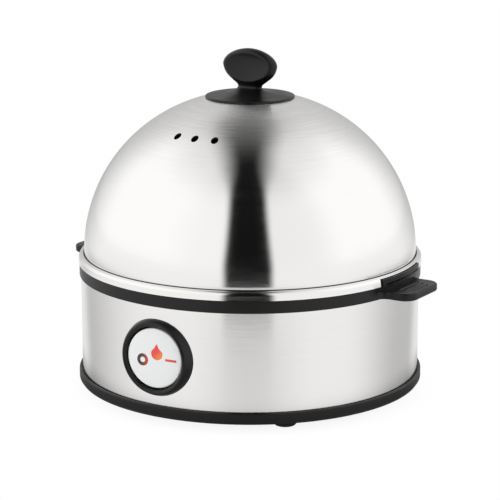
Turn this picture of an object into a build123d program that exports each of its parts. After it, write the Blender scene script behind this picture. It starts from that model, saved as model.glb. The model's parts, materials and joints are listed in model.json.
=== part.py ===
from build123d import *
import math
import os

# Electric egg cooker for seven eggs, in millimetres.
# Origin on the cooker's axis at the table, +Z up, the switch faces -Y, the two grips lie along X.

# Eggs and the room they need, from which the round parts take their size
EGG_HOLE_D = 36.0       # hole that carries an egg
EGG_WEB = 14.0          # plastic left between two egg holes
EGGS_AROUND = 6         # eggs around the middle one
TRAY_MARGIN = 13.5      # from the outermost hole's edge to the drum's outside
EGG_PITCH_R = EGG_HOLE_D + EGG_WEB
DRUM_R = EGG_PITCH_R + EGG_HOLE_D / 2 + TRAY_MARGIN

# Heights of the visible bands
FOOT_DROP = 4.4         # the feet stand this far below the base ring
RING_H = 5.4            # black base ring
DRUM_SHOW_H = 46.7      # brushed steel between base ring and upper ring
BAND_H = 5.9            # black upper ring
BASE_Z = FOOT_DROP
RING_TOP = BASE_Z + RING_H
BAND_Z = RING_TOP + DRUM_SHOW_H
BAND_TOP = BAND_Z + BAND_H

# Sheet and moulding thicknesses, and the clearances between pieces
STEEL_T = 0.6
WALL_T = 2.2            # moulded walls
SEAT_GAP = 0.05         # between pieces that are fixed together
SHEET_GAP = 0.2         # beside a steel edge in its slot
SLIDE_GAP = 0.3         # between pieces that move past each other
MERGE = 0.1             # parts of one solid reach this far into each other
NEAR = 0.01             # edges are picked within this distance

# Base tray
RING_STEP = 1.6         # the base ring stands out from the drum
RING_LIP_H = 2.0        # the ring covers the drum's lower edge
RING_DRAFT = 0.8
RING_DRAFT_H = 1.2
RING_FOOT_W = 3.0       # underside of the ring
RING_FOOT_SLOPE = 1.0
RING_ROUND = 0.6
RING_CREASE = 0.4       # fine step beside the drum
COLLAR_H = 3.0          # inner collar above the ring's top
COLLAR_T = 2.0
FLOOR_RISE = 0.6        # the floor lies higher than the ring's lower edge
RING_R = DRUM_R + RING_STEP
FLOOR_Z = BASE_Z + FLOOR_RISE
FLOOR_TOP = FLOOR_Z + WALL_T
DRUM_BOTTOM = RING_TOP - RING_LIP_H
SLOT_IN_R = DRUM_R - STEEL_T - SHEET_GAP
SLOT_OUT_R = DRUM_R + SHEET_GAP
FLOOR_RIB_R = 30.0      # stiffening ring on the floor
FLOOR_RIB_H = 3.0

# Feet and the screws that join the base to the upper ring
FEET = 4
FOOT_R = 5.5
FOOT_ROUND = 1.8
FOOT_INSET = 11.5       # foot centre, in from the drum's outside
FOOT_POCKET = 0.9
FOOT_PLUG_R = 2.6
FOOT_BULB_R = 3.4
FOOT_BULB_H = 2.0
FOOT_BULB_TAPER = 1.2
FIRST_FOOT_DEG = 45.0
TOWER_R = 4.0
TOWER_INSET = 9.5       # tower centre, in from the drum's outside
TOWER_DEG = 20.0        # from the X axis
BASE_BOSS_H = 8.0
BASE_BOSS_STEP = 0.8    # the base's bosses are thicker than the towers
TOWER_ROOT = 0.5        # the towers reach this far into the ledge
BORE_SPARE = 3.0        # the bore goes on past the screw's end
SCREW_SHANK_R = 1.5
SCREW_HEAD_R = 3.3
SCREW_HEAD_H = 2.2
SCREW_BITE = 12.0       # length that the screw takes in the tower
SCREW_HEAD_ROUND = 0.8
CROSS_W = 0.9           # cross recess in the screw heads
CROSS_DEPTH = 1.0
CROSS_SHARE = 1.3       # its length over the head's radius
HEAD_SINK = 1.4         # the screw head lies this far inside the base

# Upper ring with its two grips
BAND_STEP = 0.8         # the upper ring stands out from the drum
BAND_LIP_H = 2.9        # the ring covers the drum's upper edge
BAND_ROUND = 0.4
TRAY_DROP = 2.8         # the tray's seat lies below the ring's top
PAN_DROP = 6.2          # the pan's seat lies below the ring's top
RIM_W = 2.5             # top of the ring
TRAY_SEAT_W = 2.8
LEDGE_W = 7.5           # ledge under the pan's rim
LEDGE_T = 2.4
SKIRT_H = 3.3           # skirt inside the drum, below the ledge
BAND_R = DRUM_R + BAND_STEP
TRAY_SEAT_Z = BAND_TOP - TRAY_DROP
PAN_SEAT_Z = BAND_TOP - PAN_DROP
RIM_IN_R = BAND_R - RIM_W
TRAY_SEAT_R = RIM_IN_R - TRAY_SEAT_W
LEDGE_R = TRAY_SEAT_R - LEDGE_W
LEDGE_BOTTOM = PAN_SEAT_Z - LEDGE_T

GRIP_REACH = 14.4       # the grips stand out from the drum
GRIP_W = 31.0
GRIP_T = 3.6
GRIP_CORNER = 6.5
GRIP_FLARE = 5.0
GRIP_EDGE = 0.9
GRIP_CORE_WALL = 2.4    # walls of the cored underside
GRIP_SKIN_T = 1.8       # top skin over the cored underside
GRIP_RIBS = 3
GROOVE_COUNT = 3
GROOVE_R = 0.7
GROOVE_DEPTH = 0.35
GROOVE_PITCH = 3.0
GROOVE_FIRST = 3.0      # outermost groove, in from the tip
GROOVE_LONG = 18.0
GROOVE_TAPER = 2.5      # each outer groove is shorter by this much
GRIP_TIP_X = DRUM_R + GRIP_REACH

# Egg tray and its two lugs
TRAY_T = 2.0
TRAY_CLEAR = 0.4        # between the tray's edge and the ring
HOLE_COLLAR_T = 1.6
HOLE_COLLAR_H = 2.0
HOLE_LEAD = 0.8
RIB_T = 1.6
STEAM_VENT_IN = 3.5     # vents between the eggs, in from the outermost holes' edge
STEAM_VENT_R = 2.7
STEAM_VENT_DEG = 4.5    # two vents side by side, this far from the rib
INNER_VENT_R = 1.25
INNER_VENT_DEG = 8.0
INNER_VENT_OUT = 3.2    # past the middle of the web
RIB_SHORT = 3.0         # the ribs end before the pan's mouth
LUG_DEG = 13.2          # half the angle that a lug takes
LUG_TURN = 2.0          # the lugs lie this far round from the grips' centre line
LUG_TOP = 3.3           # above the upper ring
LUG_PROUD = 0.9         # the lug stands out from the upper ring
LUG_LIP_H = 2.2
LUG_END_DEG = 1.8       # solid ends beside the finger recess
LUG_RECESS = 2.2
TRAY_R = RIM_IN_R - TRAY_CLEAR

# Lid
FLANGE_STEP = 0.4       # the lid's edge stands out from the upper ring
FLANGE_H = 4.2
FLANGE_LEAN = 0.2
HEM_W = 1.5
HEM_H = 1.0
SHOULDER = 2.1
DOME_STEP = 1.5         # the dome is smaller than the drum
DOME_H = 77.5
DOME_PLAN_EXP = 0.973   # exponents of the dome's outline, a little fuller than an ellipse
DOME_RISE_EXP = 0.986
DOME_POINTS = 9
DOME_FLAT_R = 19.8      # flat seat under the knob
CREASE_W = 0.45
CREASE_DEPTH = 0.4
RIM_BEND = 1.4          # inside of the bend between dome and edge, below the crest
RIM_BEND_W = 0.8
RIM_BEND_DROP = 0.3
RIM_BEND_END = 0.6
RIM_START = 0.012       # parameter at which the dome's outline leaves the crease
NOTCH_CLEAR_DEG = 0.5
NOTCH_CLEAR_Z = 0.25
STEAM_HOLE_D = 3.5
STEAM_HOLE_R = 48.2     # from the axis
STEAM_HOLE_DEG = 12.1
STEAM_HOLES = 3
FLANGE_R = BAND_R + FLANGE_STEP
DOME_R = DRUM_R - DOME_STEP
DOME_Z = BAND_TOP + FLANGE_H - 0.55

# Knob
COLLAR_R = 21.3
COLLAR_EDGE = 0.95
COLLAR_LAP = 0.3        # the collar's edge reaches below the dome's flat
COLLAR_RISE = 2.1
COLLAR_SLOPE = ((15.0, 1.25), (10.0, COLLAR_RISE))  # radius and height of the collar's slope
COLLAR_NECK_STEP = 0.6  # the slope ends beside the neck
COLLAR_NECK_RISE = 1.3
NECK_RX = 6.4
NECK_Z = 4.6            # narrowest place above the seat
NECK_FLARE = 2.4        # the neck widens by this much into the collar
NECK_FOOT = 1.5         # height at which the flare ends
GRIP_RX = 14.6
GRIP_Z = 15.0           # widest place above the seat
GRIP_SWELL = ((0.30, 0.65), (0.54, 0.856), (0.78, 0.959))  # shares of rise and half-width on the way up
CHEEK = 0.69            # share of width and height at which the crown's corner lies
KNOB_H = 23.0
GRIP_FLAT = 0.42        # depth over width of grip and neck
DISH_RX = 20.2          # half axes of the rounded body that cuts the finger dish
DISH_RY = 5.0
DISH_RZ = 8.1
DISH_DEPTH = 3.1
DISH_Z = 14.1
KNOB_SCREW_R = 1.5
KNOB_SCREW_BITE = 9.0
KNOB_HEAD_R = 3.4
KNOB_HEAD_H = 2.4
KNOB_HEAD_ROUND = 1.1
WASHER_R = 9.0
WASHER_T = 1.2

# Water pan, gasket and heater
GASKET_T = 1.0
GASKET_IN = 0.5
PAN_EDGE_GAP = 0.5
PAN_WALL_IN = 0.6       # the pan's wall starts this far inside the ledge
PAN_DEPTH = 14.6
PAN_SLOPE = 8.0         # the wall leans in by this much
PAN_BEND = 2.0
PAN_RIM_Z = PAN_SEAT_Z + GASKET_T
PAN_RIM_R = TRAY_SEAT_R - PAN_EDGE_GAP
PAN_MOUTH_R = LEDGE_R - PAN_WALL_IN
PAN_FLOOR_R = PAN_MOUTH_R - PAN_SLOPE
PAN_UNDER = PAN_RIM_Z - PAN_DEPTH
RIB_H = PAN_DROP - TRAY_DROP - GASKET_T - STEEL_T - SLIDE_GAP
PLATE_INSET = 9.0
PLATE_T = 3.4
TUBE_R = 3.2            # sheathed heating tube
TUBE_INSET = 12.0
TUBE_GAP_DEG = 25.0     # half the opening between the tube's ends
TUBE_BEND = 7.0
TUBE_LEG = 5.0
CHANNEL_T = 1.2
CHANNEL_H = 4.0
CHANNEL_GAP = 0.2
TAB_W = 6.3
TAB_T = 0.8
TAB_L = 8.0
PIN_R = 1.2
PIN_L = 4.0
PLATE_R = PAN_FLOOR_R - PLATE_INSET
PLATE_UNDER = PAN_UNDER - PLATE_T
TUBE_RING_R = PLATE_R - TUBE_INSET
TUBE_Z = PLATE_UNDER - TUBE_R

STUD_R = 2.5
STUD_WASHER_R = 5.0
STUD_WASHER_T = 1.0
NUT_AF = 8.0
NUT_H = 4.0
BAR_W = 16.0
BAR_T = 1.5
BAR_DROP = 1.2          # below the heating tube
BAR_FOOT = 5.0
BAR_TOP = TUBE_Z - TUBE_R - BAR_DROP
BAR_X = LEDGE_R + BAR_T + 1.0
STUD_TAIL = 1.5
STUD_CHAMFER = 0.6

# Thermostat and thermal fuse under the heat plate
STAT_Y = -22.0
STAT_CAP_R = 8.2
STAT_CAP_H = 2.0
STAT_BODY_R = 7.0
STAT_BODY_H = 7.0
STAT_TAB_W = 4.8
STAT_TAB_L = 7.0
STAT_TAB_X = 3.6
BRACKET_T = 0.8
BRACKET_W = 16.0
BRACKET_L = 34.0
BRACKET_HOLE_X = 12.5
SMALL_SCREW_R = 1.25
SMALL_HEAD_R = 2.7
SMALL_HEAD_H = 1.8
SMALL_BOSS_R = 3.0
SMALL_BITE = 1.0        # a small screw's length in the plate
SMALL_SPARE = 0.5
FUSE_Y = 23.0
FUSE_R = 2.2
FUSE_L = 14.0
FUSE_LEAD_R = 0.5
FUSE_LEAD_L = 5.0
CLIP_T = 0.7
CLIP_W = 7.0
CLIP_EAR = 7.5

# Pieces on the base floor
BLOCK_POS = (-24.0, 50.0)
BLOCK_SIZE = (26.0, 14.0, 11.0)
BLOCK_WAYS = 3
BLOCK_BORE_R = 1.7
BLOCK_BORE_AT = 0.4     # height of the bores as a share of the block's
BLOCK_SCREW_R = 1.9
BLOCK_SCREW_AT = 0.6    # floor of the screw wells, as a share of the block's height
BLOCK_SLOT_AT = 0.7
BLOCK_SLOT_W = 1.2
BUZZER_POS = (38.0, -34.0)
BUZZER_R = 11.5
BUZZER_H = 8.5
BUZZER_PORT_R = 1.6
BUZZER_WALL = 1.6
BUZZER_WALL_H = 3.0
BUZZER_ROUND = 0.8

# Cord gland at the back, without its cord
GLAND_Z = 22.0
GLAND_HOLE_R = 5.2
GLAND_R = 7.6
GLAND_BORE_R = 3.5
GLAND_LATCH_R = 6.4
GLAND_LATCH_T = 2.2
GLAND_PROUD = 3.0
GLAND_LAP = 2.0         # the head's back is cut from this much more to follow the drum
GLAND_ROUND = 1.2
GLAND_LATCH_GAP = 1.0   # room inside for the drum's curve

# Switch: ring, rocker and what lies behind it. Depths are measured from the drum's front line,
# outwards positive, and heights from the switch's centre.
SWITCH_H = 22.7         # switch centre above the base ring's top
SWITCH_R = 18.2         # ring at the drum's surface, front and back line
SWITCH_PROUD = 3.0
SWITCH_CREST_R = 16.4
SWITCH_OPEN_R = 14.7
SLEEVE_R = 16.4
SLEEVE_DEPTH = 11.5
SLEEVE_LAP = 0.5
LIP_IN = 0.8            # inner lip that holds the contact housing
LIP_H = 1.0
LATCH_REACH = 0.9
LATCH_W = 6.0
LATCH_BACK = -5.6
LATCH_FRONT = -3.4
BEZEL_INNER = ((0.0, 1.0), (0.25, 1.75), (0.8, 2.5))   # past the opening, and height
BEZEL_OUTER = ((0.75, 2.45), (1.35, 1.3))              # past the crest, and height
BEZEL_FOOT = ((0.9, -3.2), (1.0, -6.0))                # past the ring's radius, and height
ROCKER_R = 14.1
ROCKER_FACE = 1.7
ROCKER_T = 1.8
ROCKER_SKIRT = 3.0
ROCKER_SKIRT_T = 1.4
ROCKER_EDGE = 0.7
ROCKER_TILT = 4.0       # each way from the middle
PIVOT_DEPTH = 4.0       # behind the rocker's face
PIVOT_R = 1.3
PIVOT_GAP = 0.05
PIVOT_LONG = 2.1
EAR_W = 5.2
EAR_T = 2.8
EAR_BELOW = 0.6         # the ears end below the pins
PIN_ROOT = 1.0
STEM_DROP = 5.0         # the contact works below the switch's centre
STEM_R = 3.2
STEM_BORE_R = 2.4
STEM_BORE_TOP = 0.8     # in front of the pivot
STEM_REACH = 6.7        # behind the pivot
PLUNGER_R = 1.5
PLUNGER_REACH = 9.5     # behind the pivot
PLUNGER_TOP = 1.4
PLUNGER_COLLAR_R = 2.2
PLUNGER_COLLAR_T = 1.0
PLUNGER_COLLAR_AT = 4.2
SPRING_R = 1.9
SPRING_WIRE_R = 0.22
SPRING_TURNS = 5
LEVER_L = 16.0
LEVER_W = 4.4
LEVER_T = 0.6
LEVER_TILT = 5.0
LEVER_RISE = 0.6        # lever's front face in front of its turning line
LEVER_PIN_R = 0.5       # round pin along the turning line
CONTACT_H = 0.2
CONTACT_GAP = 0.06
LENS_H = 7.6            # drop-shaped light window
LENS_W = 5.9
LENS_X = 1.15
LENS_Z = 3.1
LENS_GAP = 0.05
LENS_TIP_X = 0.15       # the tip leans to the right
LENS_SHOULDER = 0.27    # height of the shoulders over the widest place, as a share of the height
LENS_LEFT = 0.62        # shares of the half-width at the shoulders
LENS_RIGHT = 0.52
BODY_FLANGE_R = 14.5
BODY_FLANGE_T = 1.5
BODY_W = 22.0
BODY_BOTTOM = -13.0
BODY_TOP = 2.0
BODY_BROW = 3.0
BODY_BACK = 22.0
CAVITY_W = 18.4
CAVITY_H = 5.6
CAVITY_FLOOR = 16.0
RIVET_X = 6.8
RIVET_R = 1.5
POST_R = 1.2
POST_TAIL = 1.0
POST_FRONT = 3.0        # the lamp's post ends this far behind the sleeve
LAMP_POST_DROP = 1.5
LAMP_R = 2.4
LAMP_Y = 3.8
LAMP_X = 0.6
LAMP_TIP = 1.5
LAMP_SINK = 1.5
PIVOT_IN = ROCKER_FACE - PIVOT_DEPTH
SWITCH_Z = RING_TOP + SWITCH_H
LEVER_AXIS = PIVOT_IN - PLUNGER_REACH - SLIDE_GAP - LEVER_RISE - 0.3

# Leads inside the housing
LEAD_R = 1.1
LEAD_BEND = 4.0
LEAD_RUN_Z = 15.0       # height of the runs over the floor
LEAD_BACK = 14.0        # the leads run back this far from the switch before they turn
LEAD_IN = 3.0           # bare end inside the terminal block


def disc(radius, low, high, x=0.0, y=0.0):
    """Upright round bar between two heights."""
    return Pos(x, y, low) * Cylinder(radius, high - low, align=(Align.CENTER, Align.CENTER, Align.MIN))


def ring(outer, inner, low, high, x=0.0, y=0.0):
    """Upright tube between two heights."""
    return disc(outer, low, high, x, y) - disc(inner, low - 1, high + 1, x, y)


def block(x0, x1, y0, y1, z0, z1):
    """Box between two corners."""
    return Pos((x0 + x1) / 2, (y0 + y1) / 2, (z0 + z1) / 2) * Box(x1 - x0, y1 - y0, z1 - z0)


def turned(points):
    """Solid turned about the Z axis from a closed outline of (radius, height) points."""
    outline = Polyline(*[(r, 0, z) for r, z in points], close=True)
    return revolve(make_face(outline.edges()), Axis.Z)


def sector(radius, half_deg, middle_deg, low, high):
    """Wedge of a disc, used to cut notches and lugs out of turned shapes."""
    reach = radius / math.cos(math.radians(half_deg))
    a = math.radians(middle_deg - half_deg)
    b = math.radians(middle_deg + half_deg)
    corners = [(0, 0), (reach * math.cos(a), reach * math.sin(a)), (reach * math.cos(b), reach * math.sin(b))]
    face = make_face(Polyline(*corners, close=True).edges())
    return Pos(0, 0, low) * extrude(face, high - low)


def around(radius, angles):
    """Points on a circle at the given angles in degrees."""
    return [(radius * math.cos(math.radians(a)), radius * math.sin(math.radians(a))) for a in angles]


def foot_points():
    """Centres of the feet."""
    return around(DRUM_R - FOOT_INSET, [FIRST_FOOT_DEG + 360 / FEET * i for i in range(FEET)])


def tower_points():
    """Centres of the screws that hold base and upper ring together."""
    angles = [TOWER_DEG, 180 - TOWER_DEG, 180 + TOWER_DEG, -TOWER_DEG]
    return around(DRUM_R - TOWER_INSET, angles)


def switch_place():
    """Plane on the drum's front line: local x is +X, local y is up, local z is towards the user."""
    return Plane(origin=(0, -DRUM_R, SWITCH_Z), x_dir=(1, 0, 0), z_dir=(0, -1, 0))


def drum_core(radius):
    """Long upright cylinder, to fit the backs of pieces to the drum."""
    return disc(radius, BASE_Z, BAND_TOP)


def base_tray():
    """Black base with its outer ring, the slot for the drum, bosses and foot pockets."""
    rounded = RING_R - RING_ROUND
    bow = math.sqrt(0.5)
    shell = turned([
        (0, FLOOR_Z),
        (RING_R - RING_FOOT_W - RING_FOOT_SLOPE, FLOOR_Z),
        (RING_R - RING_FOOT_W, BASE_Z),
        (RING_R - RING_DRAFT, BASE_Z),
        (RING_R, BASE_Z + RING_DRAFT_H),
        (RING_R, RING_TOP - RING_ROUND),
        (rounded + RING_ROUND * bow, RING_TOP - RING_ROUND * (1 - bow)),
        (rounded, RING_TOP),
        (SLOT_OUT_R + RING_CREASE, RING_TOP),
        (SLOT_OUT_R + RING_CREASE, RING_TOP - RING_CREASE),
        (SLOT_OUT_R, RING_TOP - RING_CREASE),
        (SLOT_OUT_R, DRUM_BOTTOM),
        (SLOT_IN_R, DRUM_BOTTOM),
        (SLOT_IN_R, RING_TOP + COLLAR_H),
        (SLOT_IN_R - COLLAR_T, RING_TOP + COLLAR_H),
        (SLOT_IN_R - COLLAR_T, FLOOR_TOP),
        (0, FLOOR_TOP),
    ])
    shell += ring(FLOOR_RIB_R + RIB_T, FLOOR_RIB_R, FLOOR_TOP, FLOOR_TOP + FLOOR_RIB_H)
    for x, y in tower_points():
        shell += disc(TOWER_R + BASE_BOSS_STEP, FLOOR_TOP, FLOOR_TOP + BASE_BOSS_H, x, y)
    bx, by = BUZZER_POS
    shell += ring(BUZZER_R + SHEET_GAP + BUZZER_WALL, BUZZER_R + SHEET_GAP,
                  FLOOR_TOP, FLOOR_TOP + BUZZER_WALL_H, bx, by)
    head_seat = FLOOR_Z + HEAD_SINK + SCREW_HEAD_H
    for x, y in tower_points():
        shell -= disc(SCREW_SHANK_R + SHEET_GAP, BASE_Z, FLOOR_TOP + BASE_BOSS_H + 1, x, y)
        shell -= disc(SCREW_HEAD_R + SHEET_GAP, BASE_Z - 1, head_seat, x, y)
    for x, y in foot_points():
        shell -= disc(FOOT_R + SHEET_GAP, BASE_Z - 1, FLOOR_Z + FOOT_POCKET, x, y)
        shell -= disc(FOOT_PLUG_R + SEAT_GAP, BASE_Z, FLOOR_TOP + 1, x, y)
    return shell


def rubber_feet():
    """Four rounded feet, each with a plug and a bulb that holds it in the floor."""
    feet = []
    for x, y in foot_points():
        pad = disc(FOOT_R, 0, FLOOR_Z + FOOT_POCKET, x, y)
        pad = fillet(pad.edges().sort_by(Axis.Z)[0], FOOT_ROUND)
        plug = disc(FOOT_PLUG_R, FLOOR_Z, FLOOR_TOP + SEAT_GAP, x, y)
        bulb = disc(FOOT_BULB_R, FLOOR_TOP + SEAT_GAP, FLOOR_TOP + SEAT_GAP + FOOT_BULB_H, x, y)
        bulb = chamfer(bulb.edges().sort_by(Axis.Z)[-1], FOOT_BULB_TAPER)
        feet.append(pad + plug + bulb)
    return feet


def cross_recess(head_r):
    """Cross-shaped cutter for a screw head's recess, centred on the head's face."""
    long = head_r * CROSS_SHARE
    return Box(long, CROSS_W, 2 * CROSS_DEPTH) + Box(CROSS_W, long, 2 * CROSS_DEPTH)


def base_screws():
    """Four long screws from the base up into the upper ring's towers."""
    screws = []
    head_low = FLOOR_Z + HEAD_SINK
    top = FLOOR_TOP + BASE_BOSS_H + SEAT_GAP + SCREW_BITE
    for x, y in tower_points():
        head = disc(SCREW_HEAD_R, head_low, head_low + SCREW_HEAD_H, x, y)
        head = fillet(head.edges().sort_by(Axis.Z)[0], SCREW_HEAD_ROUND)
        head -= Pos(x, y, head_low) * cross_recess(SCREW_HEAD_R)
        screws.append(head + disc(SCREW_SHANK_R, head_low + SCREW_HEAD_H / 2, top, x, y))
    return screws


def drum_shell():
    """Brushed steel drum with the round switch opening and the gland's hole."""
    top = BAND_Z + BAND_LIP_H - SHEET_GAP
    wall = ring(DRUM_R, DRUM_R - STEEL_T, DRUM_BOTTOM + SEAT_GAP, top)
    wall -= switch_place() * Pos(0, 0, -DRUM_R / 4) * Cylinder(SLEEVE_R + SHEET_GAP, DRUM_R)
    wall -= Pos(0, DRUM_R, GLAND_Z) * Rot(90, 0, 0) * Cylinder(GLAND_HOLE_R, DRUM_R / 2)
    return wall


def grip_plan(outset=0.0):
    """Plan of the upper ring's two grips: straight sides, round tips, concave flares at the root."""
    plan = Circle(BAND_R) + Rectangle(2 * (GRIP_TIP_X + outset), GRIP_W + 2 * outset)
    tips = plan.vertices().filter_by(lambda v: abs(v.X) > GRIP_TIP_X + outset - 1)
    plan = fillet(tips, GRIP_CORNER + outset)
    roots = plan.vertices().filter_by(lambda v: abs(v.Y) > GRIP_W / 2 + outset - 0.5 and abs(v.X) < BAND_R)
    return fillet(roots, GRIP_FLARE)


def grip_grooves():
    """Shallow thumb grooves across the top of the grips."""
    cuts = []
    for side in (-1, 1):
        for i in range(GROOVE_COUNT):
            x = side * (GRIP_TIP_X - GROOVE_FIRST - i * GROOVE_PITCH)
            long = GROOVE_LONG - (GROOVE_COUNT - 1 - i) * GROOVE_TAPER
            z = BAND_Z + GRIP_T + GROOVE_R - GROOVE_DEPTH
            cuts.append(Pos(x, 0, z) * Rot(90, 0, 0) * Cylinder(GROOVE_R, long))
    return cuts


def handle_ring():
    """Black upper ring: band, grips, seats for tray and pan, drum slot and screw towers."""
    lip_top = BAND_Z + BAND_LIP_H
    skirt_low = LEDGE_BOTTOM - SKIRT_H
    band = turned([
        (BAND_R, BAND_Z),
        (BAND_R, BAND_TOP - BAND_ROUND),
        (BAND_R - BAND_ROUND, BAND_TOP),
        (RIM_IN_R, BAND_TOP),
        (RIM_IN_R, TRAY_SEAT_Z),
        (TRAY_SEAT_R, TRAY_SEAT_Z),
        (TRAY_SEAT_R, PAN_SEAT_Z),
        (LEDGE_R, PAN_SEAT_Z),
        (LEDGE_R, LEDGE_BOTTOM),
        (SLOT_IN_R - COLLAR_T, LEDGE_BOTTOM),
        (SLOT_IN_R - COLLAR_T, skirt_low),
        (SLOT_IN_R, skirt_low),
        (SLOT_IN_R, lip_top),
        (SLOT_OUT_R, lip_top),
        (SLOT_OUT_R, BAND_Z),
    ])
    inner = Circle((SLOT_OUT_R + BAND_R) / 2)
    grips = Pos(0, 0, BAND_Z) * extrude(grip_plan() - inner, GRIP_T)
    outer_edges = grips.edges().filter_by(
        lambda e: min(abs(e.center().Z - BAND_Z), abs(e.center().Z - BAND_Z - GRIP_T)) < NEAR
        and math.hypot(e.center().X, e.center().Y) > BAND_R + 0.3)
    grips = fillet(outer_edges, GRIP_EDGE)
    core = Pos(0, 0, BAND_Z) * extrude(grip_plan(-GRIP_CORE_WALL) - Circle(BAND_R + GRIP_CORE_WALL),
                                       GRIP_T - GRIP_SKIN_T)
    pitch = (GRIP_W - 2 * GRIP_CORE_WALL) / (GRIP_RIBS + 1)
    for i in range(GRIP_RIBS):
        y = (i - (GRIP_RIBS - 1) / 2) * pitch
        core -= block(-GRIP_TIP_X, GRIP_TIP_X, y - RIB_T / 2, y + RIB_T / 2, BAND_Z - 1, BAND_TOP)
    body = band + (grips - core)
    for cut in grip_grooves():
        body -= cut
    boss_top = FLOOR_TOP + BASE_BOSS_H + SEAT_GAP
    for x, y in tower_points():
        body += disc(TOWER_R, boss_top, LEDGE_BOTTOM + TOWER_ROOT, x, y)
        body -= disc(SCREW_SHANK_R + SEAT_GAP, boss_top - 1, boss_top + SCREW_BITE + BORE_SPARE, x, y)
    return body


def egg_hole_points():
    """Centres of the egg holes: one in the middle, the others around it."""
    return [(0.0, 0.0)] + around(EGG_PITCH_R, [360 / EGGS_AROUND * i + 30 for i in range(EGGS_AROUND)])


def tray_lug(turn):
    """Lug over the upper ring with a finger recess under its lip."""
    z0 = BAND_TOP
    z1 = BAND_TOP + LUG_TOP
    outer = BAND_R + LUG_PROUD
    root = TRAY_R - WALL_T
    wedge = sector(outer, LUG_DEG, turn, TRAY_SEAT_Z, z1)
    lug = (disc(outer, z0, z1) - disc(root, z0 - 1, z1 + 1)) & wedge
    lug += ring(TRAY_R, root, TRAY_SEAT_Z + MERGE, z0) & wedge
    recess = ring(outer + 1, outer - LUG_RECESS, z0 - 1, z1 - LUG_LIP_H)
    lug -= recess & sector(outer + 1, LUG_DEG - LUG_END_DEG, turn, z0 - 1, z1)
    return lug


def egg_tray():
    """Black tray with seven collared egg holes, steam vents, ribs and two lifting lugs."""
    z0 = TRAY_SEAT_Z
    z1 = z0 + TRAY_T
    tray = disc(TRAY_R, z0, z1)
    hole_r = EGG_HOLE_D / 2
    rib_reach = PAN_MOUTH_R - RIB_SHORT
    for i in range(EGGS_AROUND):
        rib = block(hole_r, rib_reach, -RIB_T / 2, RIB_T / 2, z0 - RIB_H, z0)
        tray += Rot(0, 0, 360 / EGGS_AROUND * i) * rib
    for x, y in egg_hole_points():
        tray += disc(hole_r + HOLE_COLLAR_T, z0 - RIB_H, z1 + HOLE_COLLAR_H, x, y)
    for x, y in egg_hole_points():
        tray -= disc(hole_r, z0 - RIB_H - 1, z1 + HOLE_COLLAR_H + 1, x, y)
        tray -= Pos(x, y, z1 + HOLE_COLLAR_H - HOLE_LEAD) * Cone(
            hole_r, hole_r + HOLE_LEAD, HOLE_LEAD, align=(Align.CENTER, Align.CENTER, Align.MIN))
    vent_r = EGG_PITCH_R + hole_r - STEAM_VENT_IN
    inner_r = hole_r + EGG_WEB / 2 + INNER_VENT_OUT
    for i in range(EGGS_AROUND):
        turn = 360 / EGGS_AROUND * i
        for x, y in around(vent_r, [turn - STEAM_VENT_DEG, turn + STEAM_VENT_DEG]):
            tray -= disc(STEAM_VENT_R, z0 - 1, z1 + 1, x, y)
        for x, y in around(inner_r, [turn - INNER_VENT_DEG, turn + INNER_VENT_DEG]):
            tray -= disc(INNER_VENT_R, z0 - RIB_H - 1, z1 + 1, x, y)
    for turn in (LUG_TURN, 180 + LUG_TURN):
        tray += tray_lug(turn)
    return tray


def dome_point(radius, height, t):
    """Point of the dome's outline at parameter t, from 0 at the rim to a quarter turn at the top."""
    return (radius * math.cos(t) ** DOME_PLAN_EXP, 0, DOME_Z + height * math.sin(t) ** DOME_RISE_EXP)


def dome_curve(radius, height, t0, t1):
    """Smooth curve along the dome's outline between two parameters."""
    steps = [t0 + (t1 - t0) * i / (DOME_POINTS - 1) for i in range(DOME_POINTS)]
    return Spline(*[dome_point(radius, height, t) for t in steps])


def flat_parameter(radius):
    """Parameter at which the dome's outline reaches the knob's flat seat."""
    return math.acos((DOME_FLAT_R / radius) ** (1 / DOME_PLAN_EXP))


def seat_height():
    """Height of the flat seat under the knob."""
    return dome_point(DOME_R, DOME_H, flat_parameter(DOME_R))[2]


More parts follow.
